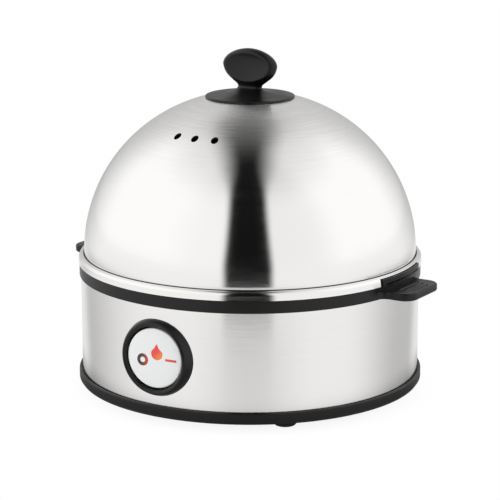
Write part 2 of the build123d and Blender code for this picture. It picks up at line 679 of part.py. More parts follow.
def lid_dome():
    """Steel lid: dome, rolled shoulder with hem, notches for the tray's lugs and steam holes."""
    t_out = flat_parameter(DOME_R)
    t_in = flat_parameter(DOME_R - STEEL_T)
    outer = dome_curve(DOME_R, DOME_H, RIM_START, t_out)
    inner = dome_curve(DOME_R - STEEL_T, DOME_H - STEEL_T, t_in, 0.0)
    top = outer @ 1
    under = inner @ 0
    crest_z = BAND_TOP + FLANGE_H
    side_top = (FLANGE_R - FLANGE_LEAN, 0, crest_z - SHOULDER)
    crest = (DOME_R + CREASE_W, 0, crest_z)
    bow = math.sqrt(0.5)
    middle = (crest[0] + (side_top[0] - crest[0]) * bow, 0, side_top[2] + SHOULDER * bow)
    hem_in = FLANGE_R - HEM_W
    wall_in = FLANGE_R - FLANGE_LEAN - STEEL_T
    bend_in = (DOME_R - STEEL_T, 0, crest_z - RIM_BEND)
    bend_out = (wall_in - RIM_BEND_W, 0, crest_z - RIM_BEND - RIM_BEND_DROP)
    wall_top = (wall_in, 0, crest_z - SHOULDER - RIM_BEND_END)
    edges = [
        Line((FLANGE_R, 0, BAND_TOP), side_top),
        ThreePointArc(side_top, middle, crest),
        Line(crest, (DOME_R - STEEL_T / 3, 0, crest_z - CREASE_DEPTH)),
        Line((DOME_R - STEEL_T / 3, 0, crest_z - CREASE_DEPTH), outer @ 0),
        outer,
        Line(top, (0, 0, top.Z)),
        Line((0, 0, top.Z), (0, 0, under.Z)),
        Line((0, 0, under.Z), under),
        inner,
        Line(inner @ 1, bend_in),
        Line(bend_in, bend_out),
        Line(bend_out, wall_top),
        Line(wall_top, (wall_in, 0, BAND_TOP + HEM_H)),
        Line((wall_in, 0, BAND_TOP + HEM_H), (hem_in, 0, BAND_TOP + HEM_H)),
        Line((hem_in, 0, BAND_TOP + HEM_H), (hem_in, 0, BAND_TOP)),
        Line((hem_in, 0, BAND_TOP), (FLANGE_R, 0, BAND_TOP)),
    ]
    lid = revolve(make_face(Wire(edges)), Axis.Z)
    notch_top = BAND_TOP + LUG_TOP + NOTCH_CLEAR_Z
    for turn in (LUG_TURN, 180 + LUG_TURN):
        wedge = sector(FLANGE_R + 3, LUG_DEG + NOTCH_CLEAR_DEG, turn, BAND_TOP - 1, notch_top)
        lid -= wedge - disc(DOME_R - 2, BAND_TOP - 2, notch_top + 1)
    first = -90 - STEAM_HOLE_DEG * (STEAM_HOLES - 1) / 2
    for x, y in around(STEAM_HOLE_R, [first + STEAM_HOLE_DEG * i for i in range(STEAM_HOLES)]):
        lid -= disc(STEAM_HOLE_D / 2, DOME_Z + DOME_H / 3, DOME_Z + DOME_H, x, y)
    lid -= disc(KNOB_SCREW_R + SHEET_GAP, DOME_Z, seat_height() + 1)
    return lid


def knob_grip(seat):
    """Egg-shaped grip on an oval neck, flat front to back, with a finger dish on each side."""
    foot = (NECK_RX + NECK_FLARE, 0, seat + NECK_FOOT)
    waist = (NECK_RX, 0, seat + NECK_Z)
    widest = (GRIP_RX, 0, seat + GRIP_Z)
    rise = GRIP_Z - NECK_Z
    swell = [(GRIP_RX * wide, 0, waist[2] + rise * up) for up, wide in GRIP_SWELL]
    cheek = (GRIP_RX * CHEEK, 0, widest[2] + (KNOB_H - GRIP_Z) * CHEEK)
    crown = (0, 0, seat + KNOB_H)
    outline = Wire([
        Spline(foot, waist, tangents=((-0.6, 0, 1), (0, 0, 1))),
        Spline(waist, *swell, widest, tangents=((0, 0, 1), (0, 0, 1))),
        Spline(widest, cheek, crown, tangents=((0, 0, 1), (-1, 0, 0))),
        Line(crown, (0, 0, foot[2])),
        Line((0, 0, foot[2]), foot),
    ])
    grip = scale(revolve(make_face(outline), Axis.Z), by=(1, GRIP_FLAT, 1))
    dish = scale(Sphere(1), by=(DISH_RX, DISH_RY, DISH_RZ))
    dish_y = GRIP_RX * GRIP_FLAT - DISH_DEPTH + DISH_RY
    for side in (-1, 1):
        grip -= Pos(0, side * dish_y, seat + DISH_Z) * dish
    return grip


def lid_knob():
    """Black knob: round collar that follows the dome, waisted neck and dished egg-shaped grip."""
    seat = seat_height() + SEAT_GAP
    edge_low = seat - COLLAR_LAP
    slope = Spline(
        (COLLAR_R, 0, edge_low + COLLAR_EDGE),
        *[(radius, 0, seat + rise) for radius, rise in COLLAR_SLOPE],
        (NECK_RX + COLLAR_NECK_STEP, 0, seat + COLLAR_RISE + COLLAR_NECK_RISE),
    )
    tip = slope @ 1
    edges = [
        Line((0, 0, seat), (DOME_FLAT_R, 0, seat)),
        Line((DOME_FLAT_R, 0, seat), (COLLAR_R, 0, edge_low)),
        Line((COLLAR_R, 0, edge_low), slope @ 0),
        slope,
        Line(tip, (0, 0, tip.Z)),
        Line((0, 0, tip.Z), (0, 0, seat)),
    ]
    collar = revolve(make_face(Wire(edges)), Axis.Z)
    knob = collar + knob_grip(seat)
    return knob - disc(KNOB_SCREW_R + SEAT_GAP, seat - 1, seat + KNOB_SCREW_BITE)


def knob_washer():
    """Steel washer under the dome that spreads the knob screw's pull."""
    top = seat_height() - STEEL_T
    return ring(WASHER_R, KNOB_SCREW_R + SHEET_GAP, top - WASHER_T, top - SEAT_GAP)


def knob_screw():
    """Pan-head screw from inside the lid up into the knob."""
    top = seat_height() - STEEL_T - WASHER_T
    head = disc(KNOB_HEAD_R, top - KNOB_HEAD_H, top - SEAT_GAP)
    head = fillet(head.edges().sort_by(Axis.Z)[0], KNOB_HEAD_ROUND)
    head -= Pos(0, 0, top - KNOB_HEAD_H) * cross_recess(KNOB_HEAD_R)
    return head + disc(KNOB_SCREW_R, top - 1, seat_height() + KNOB_SCREW_BITE - 1)


def water_pan():
    """Steel water dish with a flat rim, sloped wall and flat floor."""
    t = STEEL_T
    lean = t * math.hypot(1, PAN_SLOPE / PAN_DEPTH)
    pan = turned([
        (0, PAN_UNDER),
        (PAN_FLOOR_R, PAN_UNDER),
        (PAN_MOUTH_R, PAN_RIM_Z),
        (PAN_RIM_R, PAN_RIM_Z),
        (PAN_RIM_R, PAN_RIM_Z + t),
        (PAN_MOUTH_R - lean + t * PAN_SLOPE / PAN_DEPTH, PAN_RIM_Z + t),
        (PAN_FLOOR_R - lean + t * PAN_SLOPE / PAN_DEPTH, PAN_UNDER + t),
        (0, PAN_UNDER + t),
    ])
    for height, radius in ((PAN_UNDER, PAN_BEND + t), (PAN_UNDER + t, PAN_BEND)):
        circles = pan.edges().filter_by(GeomType.CIRCLE)
        pan = fillet(circles.filter_by(lambda e: abs(e.center().Z - height) < NEAR), radius)
    return pan


def pan_gasket():
    """Silicone ring between the pan's rim and its ledge."""
    return ring(PAN_RIM_R - GASKET_IN, LEDGE_R + GASKET_IN, PAN_SEAT_Z, PAN_RIM_Z)


def pan_stud():
    """Threaded stud welded under the pan's middle."""
    low = BAR_TOP - BAR_T - STUD_WASHER_T - NUT_H - STUD_TAIL
    stud = disc(STUD_R, low, PAN_UNDER)
    return chamfer(stud.edges().sort_by(Axis.Z)[0], STUD_CHAMFER)


def small_boss(x, y):
    """Boss under the heat plate for a small screw."""
    return disc(SMALL_BOSS_R, PLATE_UNDER - STAT_CAP_H, PLATE_UNDER + MERGE, x, y)


def bracket_points():
    """Screw places beside the thermostat."""
    return [(-BRACKET_HOLE_X, STAT_Y), (BRACKET_HOLE_X, STAT_Y)]


def clip_point():
    """Screw place beside the thermal fuse."""
    return (0.0, FUSE_Y + FUSE_R + CLIP_T + CLIP_EAR / 2)


def heat_plate():
    """Aluminium plate under the pan with the channel that grips the heating tube."""
    plate = disc(PLATE_R, PLATE_UNDER, PAN_UNDER)
    reach = TUBE_R + CHANNEL_GAP
    low = PLATE_UNDER - CHANNEL_H
    for inner in (TUBE_RING_R + reach, TUBE_RING_R - reach - CHANNEL_T):
        plate += ring(inner + CHANNEL_T, inner, low, PLATE_UNDER + MERGE)
    for x, y in bracket_points():
        plate += small_boss(x, y)
        plate -= disc(SMALL_SCREW_R + SEAT_GAP, low - 1, PLATE_UNDER + SMALL_BITE + SMALL_SPARE, x, y)
    x, y = clip_point()
    plate -= disc(SMALL_SCREW_R + SEAT_GAP, low - 1, PLATE_UNDER + SMALL_BITE + 2 * SMALL_SPARE, x, y)
    return plate - disc(STUD_R + SHEET_GAP, low, PAN_UNDER + 1)


def tube_path():
    """Centre line of the heating tube: a leg up, a bend, the open ring, a bend and a leg down."""
    a0 = 90 + TUBE_GAP_DEG
    a1 = 450 - TUBE_GAP_DEG
    start = Vector(*around(TUBE_RING_R, [a0])[0], TUBE_Z)
    end = Vector(*around(TUBE_RING_R, [a1])[0], TUBE_Z)
    mid = Vector(*around(TUBE_RING_R, [270])[0], TUBE_Z)
    back = Vector(math.sin(math.radians(a0)), -math.cos(math.radians(a0)), 0)
    ahead = Vector(-math.sin(math.radians(a1)), math.cos(math.radians(a1)), 0)
    bow = math.sqrt(0.5)
    drop = Vector(0, 0, -1)
    first = start + back * TUBE_BEND + drop * TUBE_BEND
    last = end + ahead * TUBE_BEND + drop * TUBE_BEND
    return [
        Line(first + drop * TUBE_LEG, first),
        ThreePointArc(first, start + back * TUBE_BEND * bow + drop * TUBE_BEND * (1 - bow), start),
        ThreePointArc(start, mid, end),
        ThreePointArc(end, end + ahead * TUBE_BEND * bow + drop * TUBE_BEND * (1 - bow), last),
        Line(last, last + drop * TUBE_LEG),
    ]


def tube_ends():
    """Lower ends of the heating tube."""
    path = tube_path()
    return [path[0] @ 0, path[-1] @ 1]


def heating_element():
    """Sheathed heating tube bent to an open ring with both ends turned down."""
    wire = Wire(tube_path())
    section = Plane(origin=wire @ 0, z_dir=wire % 0) * Circle(TUBE_R)
    return sweep(section, path=wire)


def element_tabs():
    """Terminal pin and blade at each end of the heating tube."""
    tabs = []
    for end in tube_ends():
        pin = disc(PIN_R, end.Z - PIN_L, end.Z, end.X, end.Y)
        blade = block(end.X - TAB_W / 2, end.X + TAB_W / 2, end.Y - TAB_T / 2, end.Y + TAB_T / 2,
                      end.Z - PIN_L - TAB_L, end.Z - PIN_L + MERGE)
        tabs.append(pin + blade)
    return tabs


def clamp_bar():
    """Steel bridge that bears up against the ledge and pulls pan and plate down on the gasket."""
    foot_x = BAR_X + BAR_FOOT
    low = BAR_TOP - BAR_T
    top = LEDGE_BOTTOM - SEAT_GAP
    outline = Polyline(
        (-foot_x, 0, top), (-BAR_X, 0, top), (-BAR_X, 0, BAR_TOP), (BAR_X, 0, BAR_TOP),
        (BAR_X, 0, top), (foot_x, 0, top), (foot_x, 0, top - BAR_T), (BAR_X + BAR_T, 0, top - BAR_T),
        (BAR_X + BAR_T, 0, low), (-BAR_X - BAR_T, 0, low), (-BAR_X - BAR_T, 0, top - BAR_T),
        (-foot_x, 0, top - BAR_T), close=True)
    bar = Pos(0, BAR_W / 2, 0) * extrude(make_face(outline.edges()), BAR_W, dir=(0, -1, 0))
    corners = bar.edges().filter_by(Axis.Y).filter_by(lambda e: abs(e.center().Z - low) < NEAR)
    bar = fillet(corners, BAR_T)
    return bar - disc(STUD_R + SHEET_GAP, low - 1, BAR_TOP + 1)


def clamp_nut():
    """Nut on the stud under the clamp bar, with its washer."""
    top = BAR_TOP - BAR_T - SEAT_GAP
    washer = ring(STUD_WASHER_R, STUD_R + SEAT_GAP, top - STUD_WASHER_T, top)
    nut = Pos(0, 0, top - STUD_WASHER_T - NUT_H) * extrude(RegularPolygon(NUT_AF / math.sqrt(3), 6), NUT_H)
    nut -= disc(STUD_R + SEAT_GAP, top - 20, top + 1)
    return washer + nut


def thermostat():
    """Disc thermostat: metal cap against the plate, round body and two blades."""
    low = PLATE_UNDER - STAT_CAP_H
    part = disc(STAT_CAP_R, low, PLATE_UNDER, 0, STAT_Y)
    part += disc(STAT_BODY_R, low - STAT_BODY_H, low, 0, STAT_Y)
    for side in (-1, 1):
        x = side * STAT_TAB_X
        part += block(x - TAB_T / 2, x + TAB_T / 2, STAT_Y - STAT_TAB_W / 2, STAT_Y + STAT_TAB_W / 2,
                      low - STAT_BODY_H - STAT_TAB_L, low - STAT_BODY_H + MERGE)
    return part


def thermostat_bracket():
    """Pressed strap that holds the thermostat's cap against the plate."""
    top = PLATE_UNDER - STAT_CAP_H
    strap = Pos(0, STAT_Y, top - BRACKET_T) * extrude(
        RectangleRounded(BRACKET_L, BRACKET_W, BRACKET_W / 3), BRACKET_T)
    strap -= disc(STAT_BODY_R + SHEET_GAP, top - 5, top + 1, 0, STAT_Y)
    for x, y in bracket_points():
        strap -= disc(SMALL_SCREW_R + SHEET_GAP, top - 5, top + 1, x, y)
    return strap


def small_screw(x, y, under, bite):
    """Small pan-head screw pointing up, its head against the given height."""
    head = disc(SMALL_HEAD_R, under - SMALL_HEAD_H, under - SEAT_GAP, x, y)
    head = fillet(head.edges().sort_by(Axis.Z)[0], SCREW_HEAD_ROUND)
    return head + disc(SMALL_SCREW_R, under - SMALL_HEAD_H / 2, under + bite, x, y)


def plate_screws():
    """Screws of the thermostat bracket and the fuse clip."""
    under = PLATE_UNDER - STAT_CAP_H - BRACKET_T
    screws = [small_screw(x, y, under, BRACKET_T + STAT_CAP_H + SMALL_BITE) for x, y in bracket_points()]
    x, y = clip_point()
    screws.append(small_screw(x, y, PLATE_UNDER - CLIP_T, CLIP_T + SMALL_BITE + SMALL_SPARE))
    return screws


def thermal_fuse():
    """Thermal fuse cartridge with its two wire ends."""
    z = PLATE_UNDER - FUSE_R - SEAT_GAP
    body = Pos(0, FUSE_Y, z) * Rot(0, 90, 0) * Cylinder(FUSE_R, FUSE_L)
    wires = Pos(0, FUSE_Y, z) * Rot(0, 90, 0) * Cylinder(FUSE_LEAD_R, FUSE_L + 2 * FUSE_LEAD_L)
    return body + wires


def fuse_clip():
    """Strap under the fuse with one ear screwed to the plate."""
    z = PLATE_UNDER - FUSE_R - SEAT_GAP
    top = PLATE_UNDER - SEAT_GAP
    inner = FUSE_R + SEAT_GAP
    outer = inner + CLIP_T
    place = Pos(0, FUSE_Y, z) * Rot(0, 90, 0)
    strap = place * Cylinder(outer, CLIP_W)
    strap += block(-CLIP_W / 2, CLIP_W / 2, FUSE_Y - outer, FUSE_Y + outer, z, top)
    strap -= place * Cylinder(inner, CLIP_W + 2)
    strap -= block(-CLIP_W, CLIP_W, FUSE_Y - inner, FUSE_Y + inner, z, top + 1)
    strap += block(-CLIP_W / 2, CLIP_W / 2, FUSE_Y + inner, FUSE_Y + outer + CLIP_EAR, top - CLIP_T, top)
    x, y = clip_point()
    return strap - disc(SMALL_SCREW_R + SHEET_GAP, top - 5, top + 1, x, y)


def terminal_block():
    """Screw terminal block on the floor, where the mains cord's cores end."""
    x, y = BLOCK_POS
    length, depth, height = BLOCK_SIZE
    low = FLOOR_TOP
    part = block(x - length / 2, x + length / 2, y - depth / 2, y + depth / 2, low, low + height)
    pitch = length / BLOCK_WAYS
    for i in range(BLOCK_WAYS):
        cx = x + (i - (BLOCK_WAYS - 1) / 2) * pitch
        part -= Pos(cx, y, low + height * BLOCK_BORE_AT) * Rot(90, 0, 0) * Cylinder(BLOCK_BORE_R, depth + 2)
        for cy in (y - depth / 4, y + depth / 4):
            part -= disc(BLOCK_SCREW_R, low + height * BLOCK_SCREW_AT, low + height + 1, cx, cy)
    for i in range(BLOCK_WAYS - 1):
        cx = x + (i - (BLOCK_WAYS - 2) / 2) * pitch
        part -= block(cx - BLOCK_SLOT_W / 2, cx + BLOCK_SLOT_W / 2, y - depth, y + depth,
                      low + height * BLOCK_SLOT_AT, low + height + 1)
    return part


def buzzer():
    """Round buzzer that sounds when the eggs are done, in its ring on the floor."""
    x, y = BUZZER_POS
    part = disc(BUZZER_R, FLOOR_TOP, FLOOR_TOP + BUZZER_H, x, y)
    part = fillet(part.edges().sort_by(Axis.Z)[-1], BUZZER_ROUND)
    return part - disc(BUZZER_PORT_R, FLOOR_TOP + BUZZER_H - 2, FLOOR_TOP + BUZZER_H + 1, x, y)


def cord_gland():
    """Bush for the mains cord in the drum's back, with an inner latch ring. The cord is left out."""
    place = Plane(origin=(0, DRUM_R, GLAND_Z), x_dir=(-1, 0, 0), z_dir=(0, 1, 0))
    head = place * Pos(0, 0, (GLAND_PROUD - GLAND_LAP) / 2) * Cylinder(GLAND_R, GLAND_PROUD + GLAND_LAP)
    front = head.edges().sort_by(Axis.Y)[-1]
    head = fillet(front, GLAND_ROUND) - drum_core(DRUM_R + SEAT_GAP)
    neck = place * Pos(0, 0, -GLAND_LAP / 2) * Cylinder(GLAND_HOLE_R - SEAT_GAP, 2 * GLAND_LAP)
    latch_in = STEEL_T + GLAND_LATCH_GAP + GLAND_LATCH_T / 2
    latch = place * Pos(0, 0, -latch_in) * Cylinder(GLAND_LATCH_R, GLAND_LATCH_T)
    body = head + neck + latch
    return body - place * Cylinder(GLAND_BORE_R, 20)


def switch_bezel():
    """Black switch ring: domed front, back fitted to the drum, sleeve through the wall."""
    crown = turned([
        (SWITCH_OPEN_R, BEZEL_FOOT[-1][1]),
        *[(SWITCH_OPEN_R + out, up) for out, up in BEZEL_INNER],
        (SWITCH_CREST_R, SWITCH_PROUD),
        *[(SWITCH_CREST_R + out, up) for out, up in BEZEL_OUTER],
        (SWITCH_R, 0),
        *[(SWITCH_R + out, up) for out, up in BEZEL_FOOT],
    ])
    place = switch_place()
    crown = place * crown - drum_core(DRUM_R + SEAT_GAP)
    sleeve = ring(SLEEVE_R, SWITCH_OPEN_R, -SLEEVE_DEPTH + SEAT_GAP, SLEEVE_LAP)
    lip_low = -SLEEVE_DEPTH + BODY_FLANGE_T + 2 * SEAT_GAP
    sleeve += ring(SWITCH_OPEN_R + MERGE, SWITCH_OPEN_R - LIP_IN, lip_low, lip_low + LIP_H)
    for side in (-1, 1):
        x = side * SLEEVE_R
        latch = block(x - 1, x + 1, -LATCH_W / 2, LATCH_W / 2, LATCH_BACK, LATCH_FRONT)
        sleeve += latch & ring(SLEEVE_R + LATCH_REACH, SLEEVE_R - MERGE, LATCH_BACK, LATCH_FRONT)
    sleeve -= Pos(0, 0, PIVOT_IN) * Rot(90, 0, 0) * Cylinder(PIVOT_R + PIVOT_GAP, 2 * SLEEVE_R + 4)
    return crown + place * sleeve


def lens_plan(grow=0.0):
    """Outline of the drop-shaped window: round below, leaning to a tip above."""
    half_w = LENS_W / 2 + grow
    low = LENS_Z - LENS_H / 2 - grow
    tip = (LENS_X + LENS_TIP_X, LENS_Z + LENS_H / 2 + grow * 2)
    mid = low + half_w
    shoulder = mid + LENS_H * LENS_SHOULDER
    left = Spline(tip, (LENS_X - half_w * LENS_LEFT, shoulder), (LENS_X - half_w, mid),
                  tangents=((-0.8, -0.75), (0, -1)))
    bottom = ThreePointArc((LENS_X - half_w, mid), (LENS_X, low), (LENS_X + half_w, mid))
    right = Spline((LENS_X + half_w, mid), (LENS_X + half_w * LENS_RIGHT, shoulder), tip,
                   tangents=((0, 1), (-0.25, 1)))
    return make_face(Wire([left, bottom, right]))


def tilted(shape):
    """Place a switch piece that turns with the rocker, in its pressed position for on."""
    turn = Pos(0, 0, PIVOT_IN) * Rot(0, ROCKER_TILT, 0) * Pos(0, 0, -PIVOT_IN)
    return switch_place() * turn * shape


def rocker_cap():
    """White rocker disc with skirt, pivot ears and pins, and the plunger's guide stem."""
    under = ROCKER_FACE - ROCKER_T
    cap = disc(ROCKER_R, under, ROCKER_FACE)
    cap += ring(ROCKER_R, ROCKER_R - ROCKER_SKIRT_T, ROCKER_FACE - ROCKER_SKIRT, under + MERGE)
    cap = fillet(cap.edges().filter_by(GeomType.CIRCLE).sort_by(Axis.Z)[-1], ROCKER_EDGE)
    for side in (-1, 1):
        inner = side * (ROCKER_R - EAR_T)
        outer = side * ROCKER_R
        ear = block(-EAR_W / 2, EAR_W / 2, min(inner, outer), max(inner, outer),
                    PIVOT_IN - PIVOT_R - EAR_BELOW, under + MERGE)
        cap += ear & disc(ROCKER_R, -20, 20)
        pin_mid = side * (ROCKER_R + (PIVOT_LONG - PIN_ROOT) / 2)
        cap += Pos(0, pin_mid, PIVOT_IN) * Rot(90, 0, 0) * Cylinder(PIVOT_R, PIVOT_LONG + PIN_ROOT)
    stem_end = PIVOT_IN - STEM_REACH
    cap += disc(STEM_R, stem_end, under + MERGE, 0, -STEM_DROP)
    cap -= disc(STEM_BORE_R, stem_end - 1, PIVOT_IN + STEM_BORE_TOP, 0, -STEM_DROP)
    cap -= Pos(0, 0, under - 1) * extrude(lens_plan(LENS_GAP), ROCKER_T + 2)
    return tilted(cap)


def drop_lens():
    """Red light window set into the rocker."""
    lens = Pos(0, 0, ROCKER_FACE - ROCKER_T) * extrude(lens_plan(), ROCKER_T)
    return tilted(lens)


def plunger():
    """Sprung pin in the rocker's stem that works the contact lever."""
    tip = PIVOT_IN - PLUNGER_REACH
    pin = disc(PLUNGER_R, tip, PIVOT_IN - PLUNGER_TOP, 0, -STEM_DROP)
    pin = fillet(pin.edges().sort_by(Axis.Z)[0], PLUNGER_R * 0.8)
    collar = PIVOT_IN - PLUNGER_COLLAR_AT
    pin += disc(PLUNGER_COLLAR_R, collar - PLUNGER_COLLAR_T, collar, 0, -STEM_DROP)
    return tilted(pin)


def plunger_spring():
    """Coil spring between the stem's blind end and the plunger's collar."""
    low = PIVOT_IN - PLUNGER_COLLAR_AT + SPRING_WIRE_R + SEAT_GAP
    high = PIVOT_IN + STEM_BORE_TOP - SPRING_WIRE_R - SEAT_GAP
    height = high - low
    path = Helix(pitch=height / SPRING_TURNS, height=height, radius=SPRING_R)
    section = Plane(origin=path @ 0, z_dir=path % 0) * Circle(SPRING_WIRE_R)
    coil = sweep(section, path=path, is_frenet=True)
    return tilted(Pos(0, -STEM_DROP, low) * coil)


def contact_lever():
    """Brass see-saw with a round pin, which the plunger tips to open or close the contact."""
    plate = block(-LEVER_L / 2, LEVER_L / 2, -LEVER_W / 2, LEVER_W / 2, LEVER_RISE - LEVER_T, LEVER_RISE)
    lever = plate + disc(RIVET_R, LEVER_RISE - LEVER_T - CONTACT_H, LEVER_RISE - LEVER_T, -RIVET_X, 0)
    lever += Rot(90, 0, 0) * Cylinder(LEVER_PIN_R, CAVITY_H - 2 * SLIDE_GAP)
    turn = Pos(0, -STEM_DROP, LEVER_AXIS) * Rot(0, -LEVER_TILT, 0)
    return switch_place() * turn * lever


def post_points():
    """Centres of the switch's terminal posts: contact, fulcrum and lamp."""
    return [(-RIVET_X, -STEM_DROP), (0.0, -STEM_DROP), (RIVET_X, BODY_TOP - LAMP_POST_DROP)]


def switch_body():
    """Black contact housing behind the switch ring, with the lever's chamber and the lamp's socket."""
    front = -SLEEVE_DEPTH + BODY_FLANGE_T
    body = disc(BODY_FLANGE_R, -SLEEVE_DEPTH, front)
    body += block(-BODY_W / 2, BODY_W / 2, BODY_BOTTOM, BODY_TOP + BODY_BROW, -BODY_BACK, -SLEEVE_DEPTH)
    chamber_y = -STEM_DROP
    body -= block(-CAVITY_W / 2, CAVITY_W / 2, chamber_y - CAVITY_H / 2, chamber_y + CAVITY_H / 2,
                  -CAVITY_FLOOR, front + 1)
    body -= disc(LAMP_R + SEAT_GAP, -SLEEVE_DEPTH - LAMP_SINK, front + 1, LAMP_X, LAMP_Y)
    for x, y in post_points():
        body -= disc(POST_R + SEAT_GAP, -BODY_BACK - 1, -SLEEVE_DEPTH - 2, x, y)
    return switch_place() * body


def switch_terminals():
    """Brass posts through the contact housing, each with a blade behind."""
    back = LEVER_AXIS + LEVER_RISE - LEVER_T
    dip = (RIVET_X + RIVET_R) * math.sin(math.radians(LEVER_TILT)) + CONTACT_H
    tops = [back - dip - CONTACT_GAP, LEVER_AXIS - LEVER_PIN_R - SEAT_GAP, -SLEEVE_DEPTH - POST_FRONT]
    parts = []
    for (x, y), top in zip(post_points(), tops):
        post = disc(POST_R, -BODY_BACK - POST_TAIL, top, x, y)
        blade = block(x - TAB_T / 2, x + TAB_T / 2, y - TAB_W / 2, y + TAB_W / 2,
                      -BODY_BACK - TAB_L, -BODY_BACK - SEAT_GAP)
        parts.append(switch_place() * (post + blade))
    return parts


def indicator_lamp():
    """Glow lamp behind the drop-shaped window."""
    lamp = disc(LAMP_R, -SLEEVE_DEPTH - LAMP_SINK + SEAT_GAP, -LAMP_TIP, LAMP_X, LAMP_Y)
    lamp = fillet(lamp.edges().sort_by(Axis.Z)[-1], LAMP_R * 0.8)
    return switch_place() * lamp


def lead(*points):
    """Insulated lead along straight runs joined by tangent arcs."""
    path = FilletPolyline(*points, radius=LEAD_BEND)
    wire = Wire(path.edges())
    section = Plane(origin=wire @ 0, z_dir=wire % 0) * Circle(LEAD_R)
    return sweep(section, path=wire)


def inner_leads():
    """Five leads: terminal block, switch, thermostat, heating tube, fuse and back to the block."""
    left, right = sorted(tube_ends(), key=lambda end: end.X)
    tab_y = left.Y - TAB_T / 2 - SEAT_GAP
    stat_z = PLATE_UNDER - STAT_CAP_H - STAT_BODY_H - STAT_TAB_L - SEAT_GAP
    blade_y = -DRUM_R + BODY_BACK + TAB_L + SEAT_GAP
    turn_y = blade_y + LEAD_BACK
    contact_z = SWITCH_Z - STEM_DROP
    bx, by = BLOCK_POS
    length, depth, height = BLOCK_SIZE
    first_x = bx - length / BLOCK_WAYS
    last_x = bx + length / BLOCK_WAYS
    clamp_y = by - depth / 2 + LEAD_IN
    bore_z = FLOOR_TOP + height * BLOCK_BORE_AT
    fuse_z = PLATE_UNDER - FUSE_R - SEAT_GAP
    fuse_x = FUSE_L / 2 + FUSE_LEAD_L + SEAT_GAP
    side_x = fuse_x + 1.5 * LEAD_BEND
    cross_z = LEAD_RUN_Z + LEAD_BEND + LEAD_R
    return [
        lead((first_x, clamp_y, bore_z), (first_x, turn_y, bore_z), (-RIVET_X, turn_y, bore_z),
             (-RIVET_X, turn_y, contact_z), (-RIVET_X, blade_y, contact_z)),
        lead((0, blade_y, contact_z), (0, turn_y, contact_z), (0, turn_y, LEAD_RUN_Z),
             (-STAT_TAB_X, STAT_Y, LEAD_RUN_Z), (-STAT_TAB_X, STAT_Y, stat_z)),
        lead((STAT_TAB_X, STAT_Y, stat_z), (STAT_TAB_X, STAT_Y, LEAD_RUN_Z), (right.X, 0, LEAD_RUN_Z),
             (right.X, tab_y, LEAD_RUN_Z)),
        lead((left.X, tab_y, LEAD_RUN_Z), (left.X, tab_y - 2 * LEAD_BEND, LEAD_RUN_Z),
             (-side_x, FUSE_Y, LEAD_RUN_Z), (-side_x, FUSE_Y, fuse_z), (-fuse_x, FUSE_Y, fuse_z)),
        lead((fuse_x, FUSE_Y, fuse_z), (side_x, FUSE_Y, fuse_z), (side_x, FUSE_Y, cross_z),
             (last_x, FUSE_Y + LEAD_BEND, cross_z), (last_x, clamp_y - 3 * LEAD_BEND, bore_z),
             (last_x, clamp_y, bore_z)),
    ]


NODES = {
    "base_tray": base_tray,
    "rubber_feet": rubber_feet,
    "base_screws": base_screws,
    "drum_shell": drum_shell,
    "handle_ring": handle_ring,
    "egg_tray": egg_tray,
    "lid_dome": lid_dome,
    "lid_knob": lid_knob,
    "knob_washer": knob_washer,
    "knob_screw": knob_screw,
    "water_pan": water_pan,
    "pan_gasket": pan_gasket,
    "pan_stud": pan_stud,
    "heat_plate": heat_plate,
    "heating_element": heating_element,
    "element_tabs": element_tabs,
    "clamp_bar": clamp_bar,
    "clamp_nut": clamp_nut,
    "thermostat": thermostat,
    "thermostat_bracket": thermostat_bracket,
    "plate_screws": plate_screws,
    "thermal_fuse": thermal_fuse,
    "fuse_clip": fuse_clip,
    "terminal_block": terminal_block,
    "buzzer": buzzer,
    "cord_gland": cord_gland,
    "switch_bezel": switch_bezel,
    "rocker_cap": rocker_cap,
    "drop_lens": drop_lens,
    "plunger": plunger,
    "plunger_spring": plunger_spring,
    "contact_lever": contact_lever,
    "switch_body": switch_body,
    "switch_terminals": switch_terminals,
    "indicator_lamp": indicator_lamp,
    "inner_leads": inner_leads,
}


def main():
    os.makedirs("parts", exist_ok=True)
    for name, build in NODES.items():
        shape = build()
        if isinstance(shape, list):
            shape = Compound(children=shape)
        export_step(shape, os.path.join("parts", name + ".step"))


main()
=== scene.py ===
"""Electric egg cooker: finishes, lit lamp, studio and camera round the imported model."""

from __future__ import annotations

import json
import logging
import math
from collections.abc import Iterable
from dataclasses import dataclass, field
from enum import Enum
from typing import ClassVar

import bmesh
import bpy
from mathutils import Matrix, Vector

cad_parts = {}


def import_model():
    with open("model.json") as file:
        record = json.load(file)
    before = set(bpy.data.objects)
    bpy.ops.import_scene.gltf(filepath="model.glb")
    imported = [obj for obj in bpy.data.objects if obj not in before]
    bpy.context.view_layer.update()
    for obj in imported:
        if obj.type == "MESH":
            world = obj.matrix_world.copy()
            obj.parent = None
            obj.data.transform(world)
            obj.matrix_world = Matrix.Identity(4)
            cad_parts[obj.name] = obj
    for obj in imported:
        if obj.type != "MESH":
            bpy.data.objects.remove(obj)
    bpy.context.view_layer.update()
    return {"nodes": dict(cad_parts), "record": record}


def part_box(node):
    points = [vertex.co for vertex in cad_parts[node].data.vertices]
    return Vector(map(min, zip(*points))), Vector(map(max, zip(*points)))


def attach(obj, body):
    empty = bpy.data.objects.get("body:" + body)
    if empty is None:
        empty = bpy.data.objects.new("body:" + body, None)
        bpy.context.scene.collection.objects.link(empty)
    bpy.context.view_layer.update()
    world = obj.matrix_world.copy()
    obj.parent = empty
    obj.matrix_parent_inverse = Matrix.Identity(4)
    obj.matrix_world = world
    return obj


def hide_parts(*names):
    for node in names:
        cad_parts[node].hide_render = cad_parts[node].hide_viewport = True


LOG = logging.getLogger("egg_cooker")
MM = 0.001
WHITE = (1.0, 1.0, 1.0, 1.0)
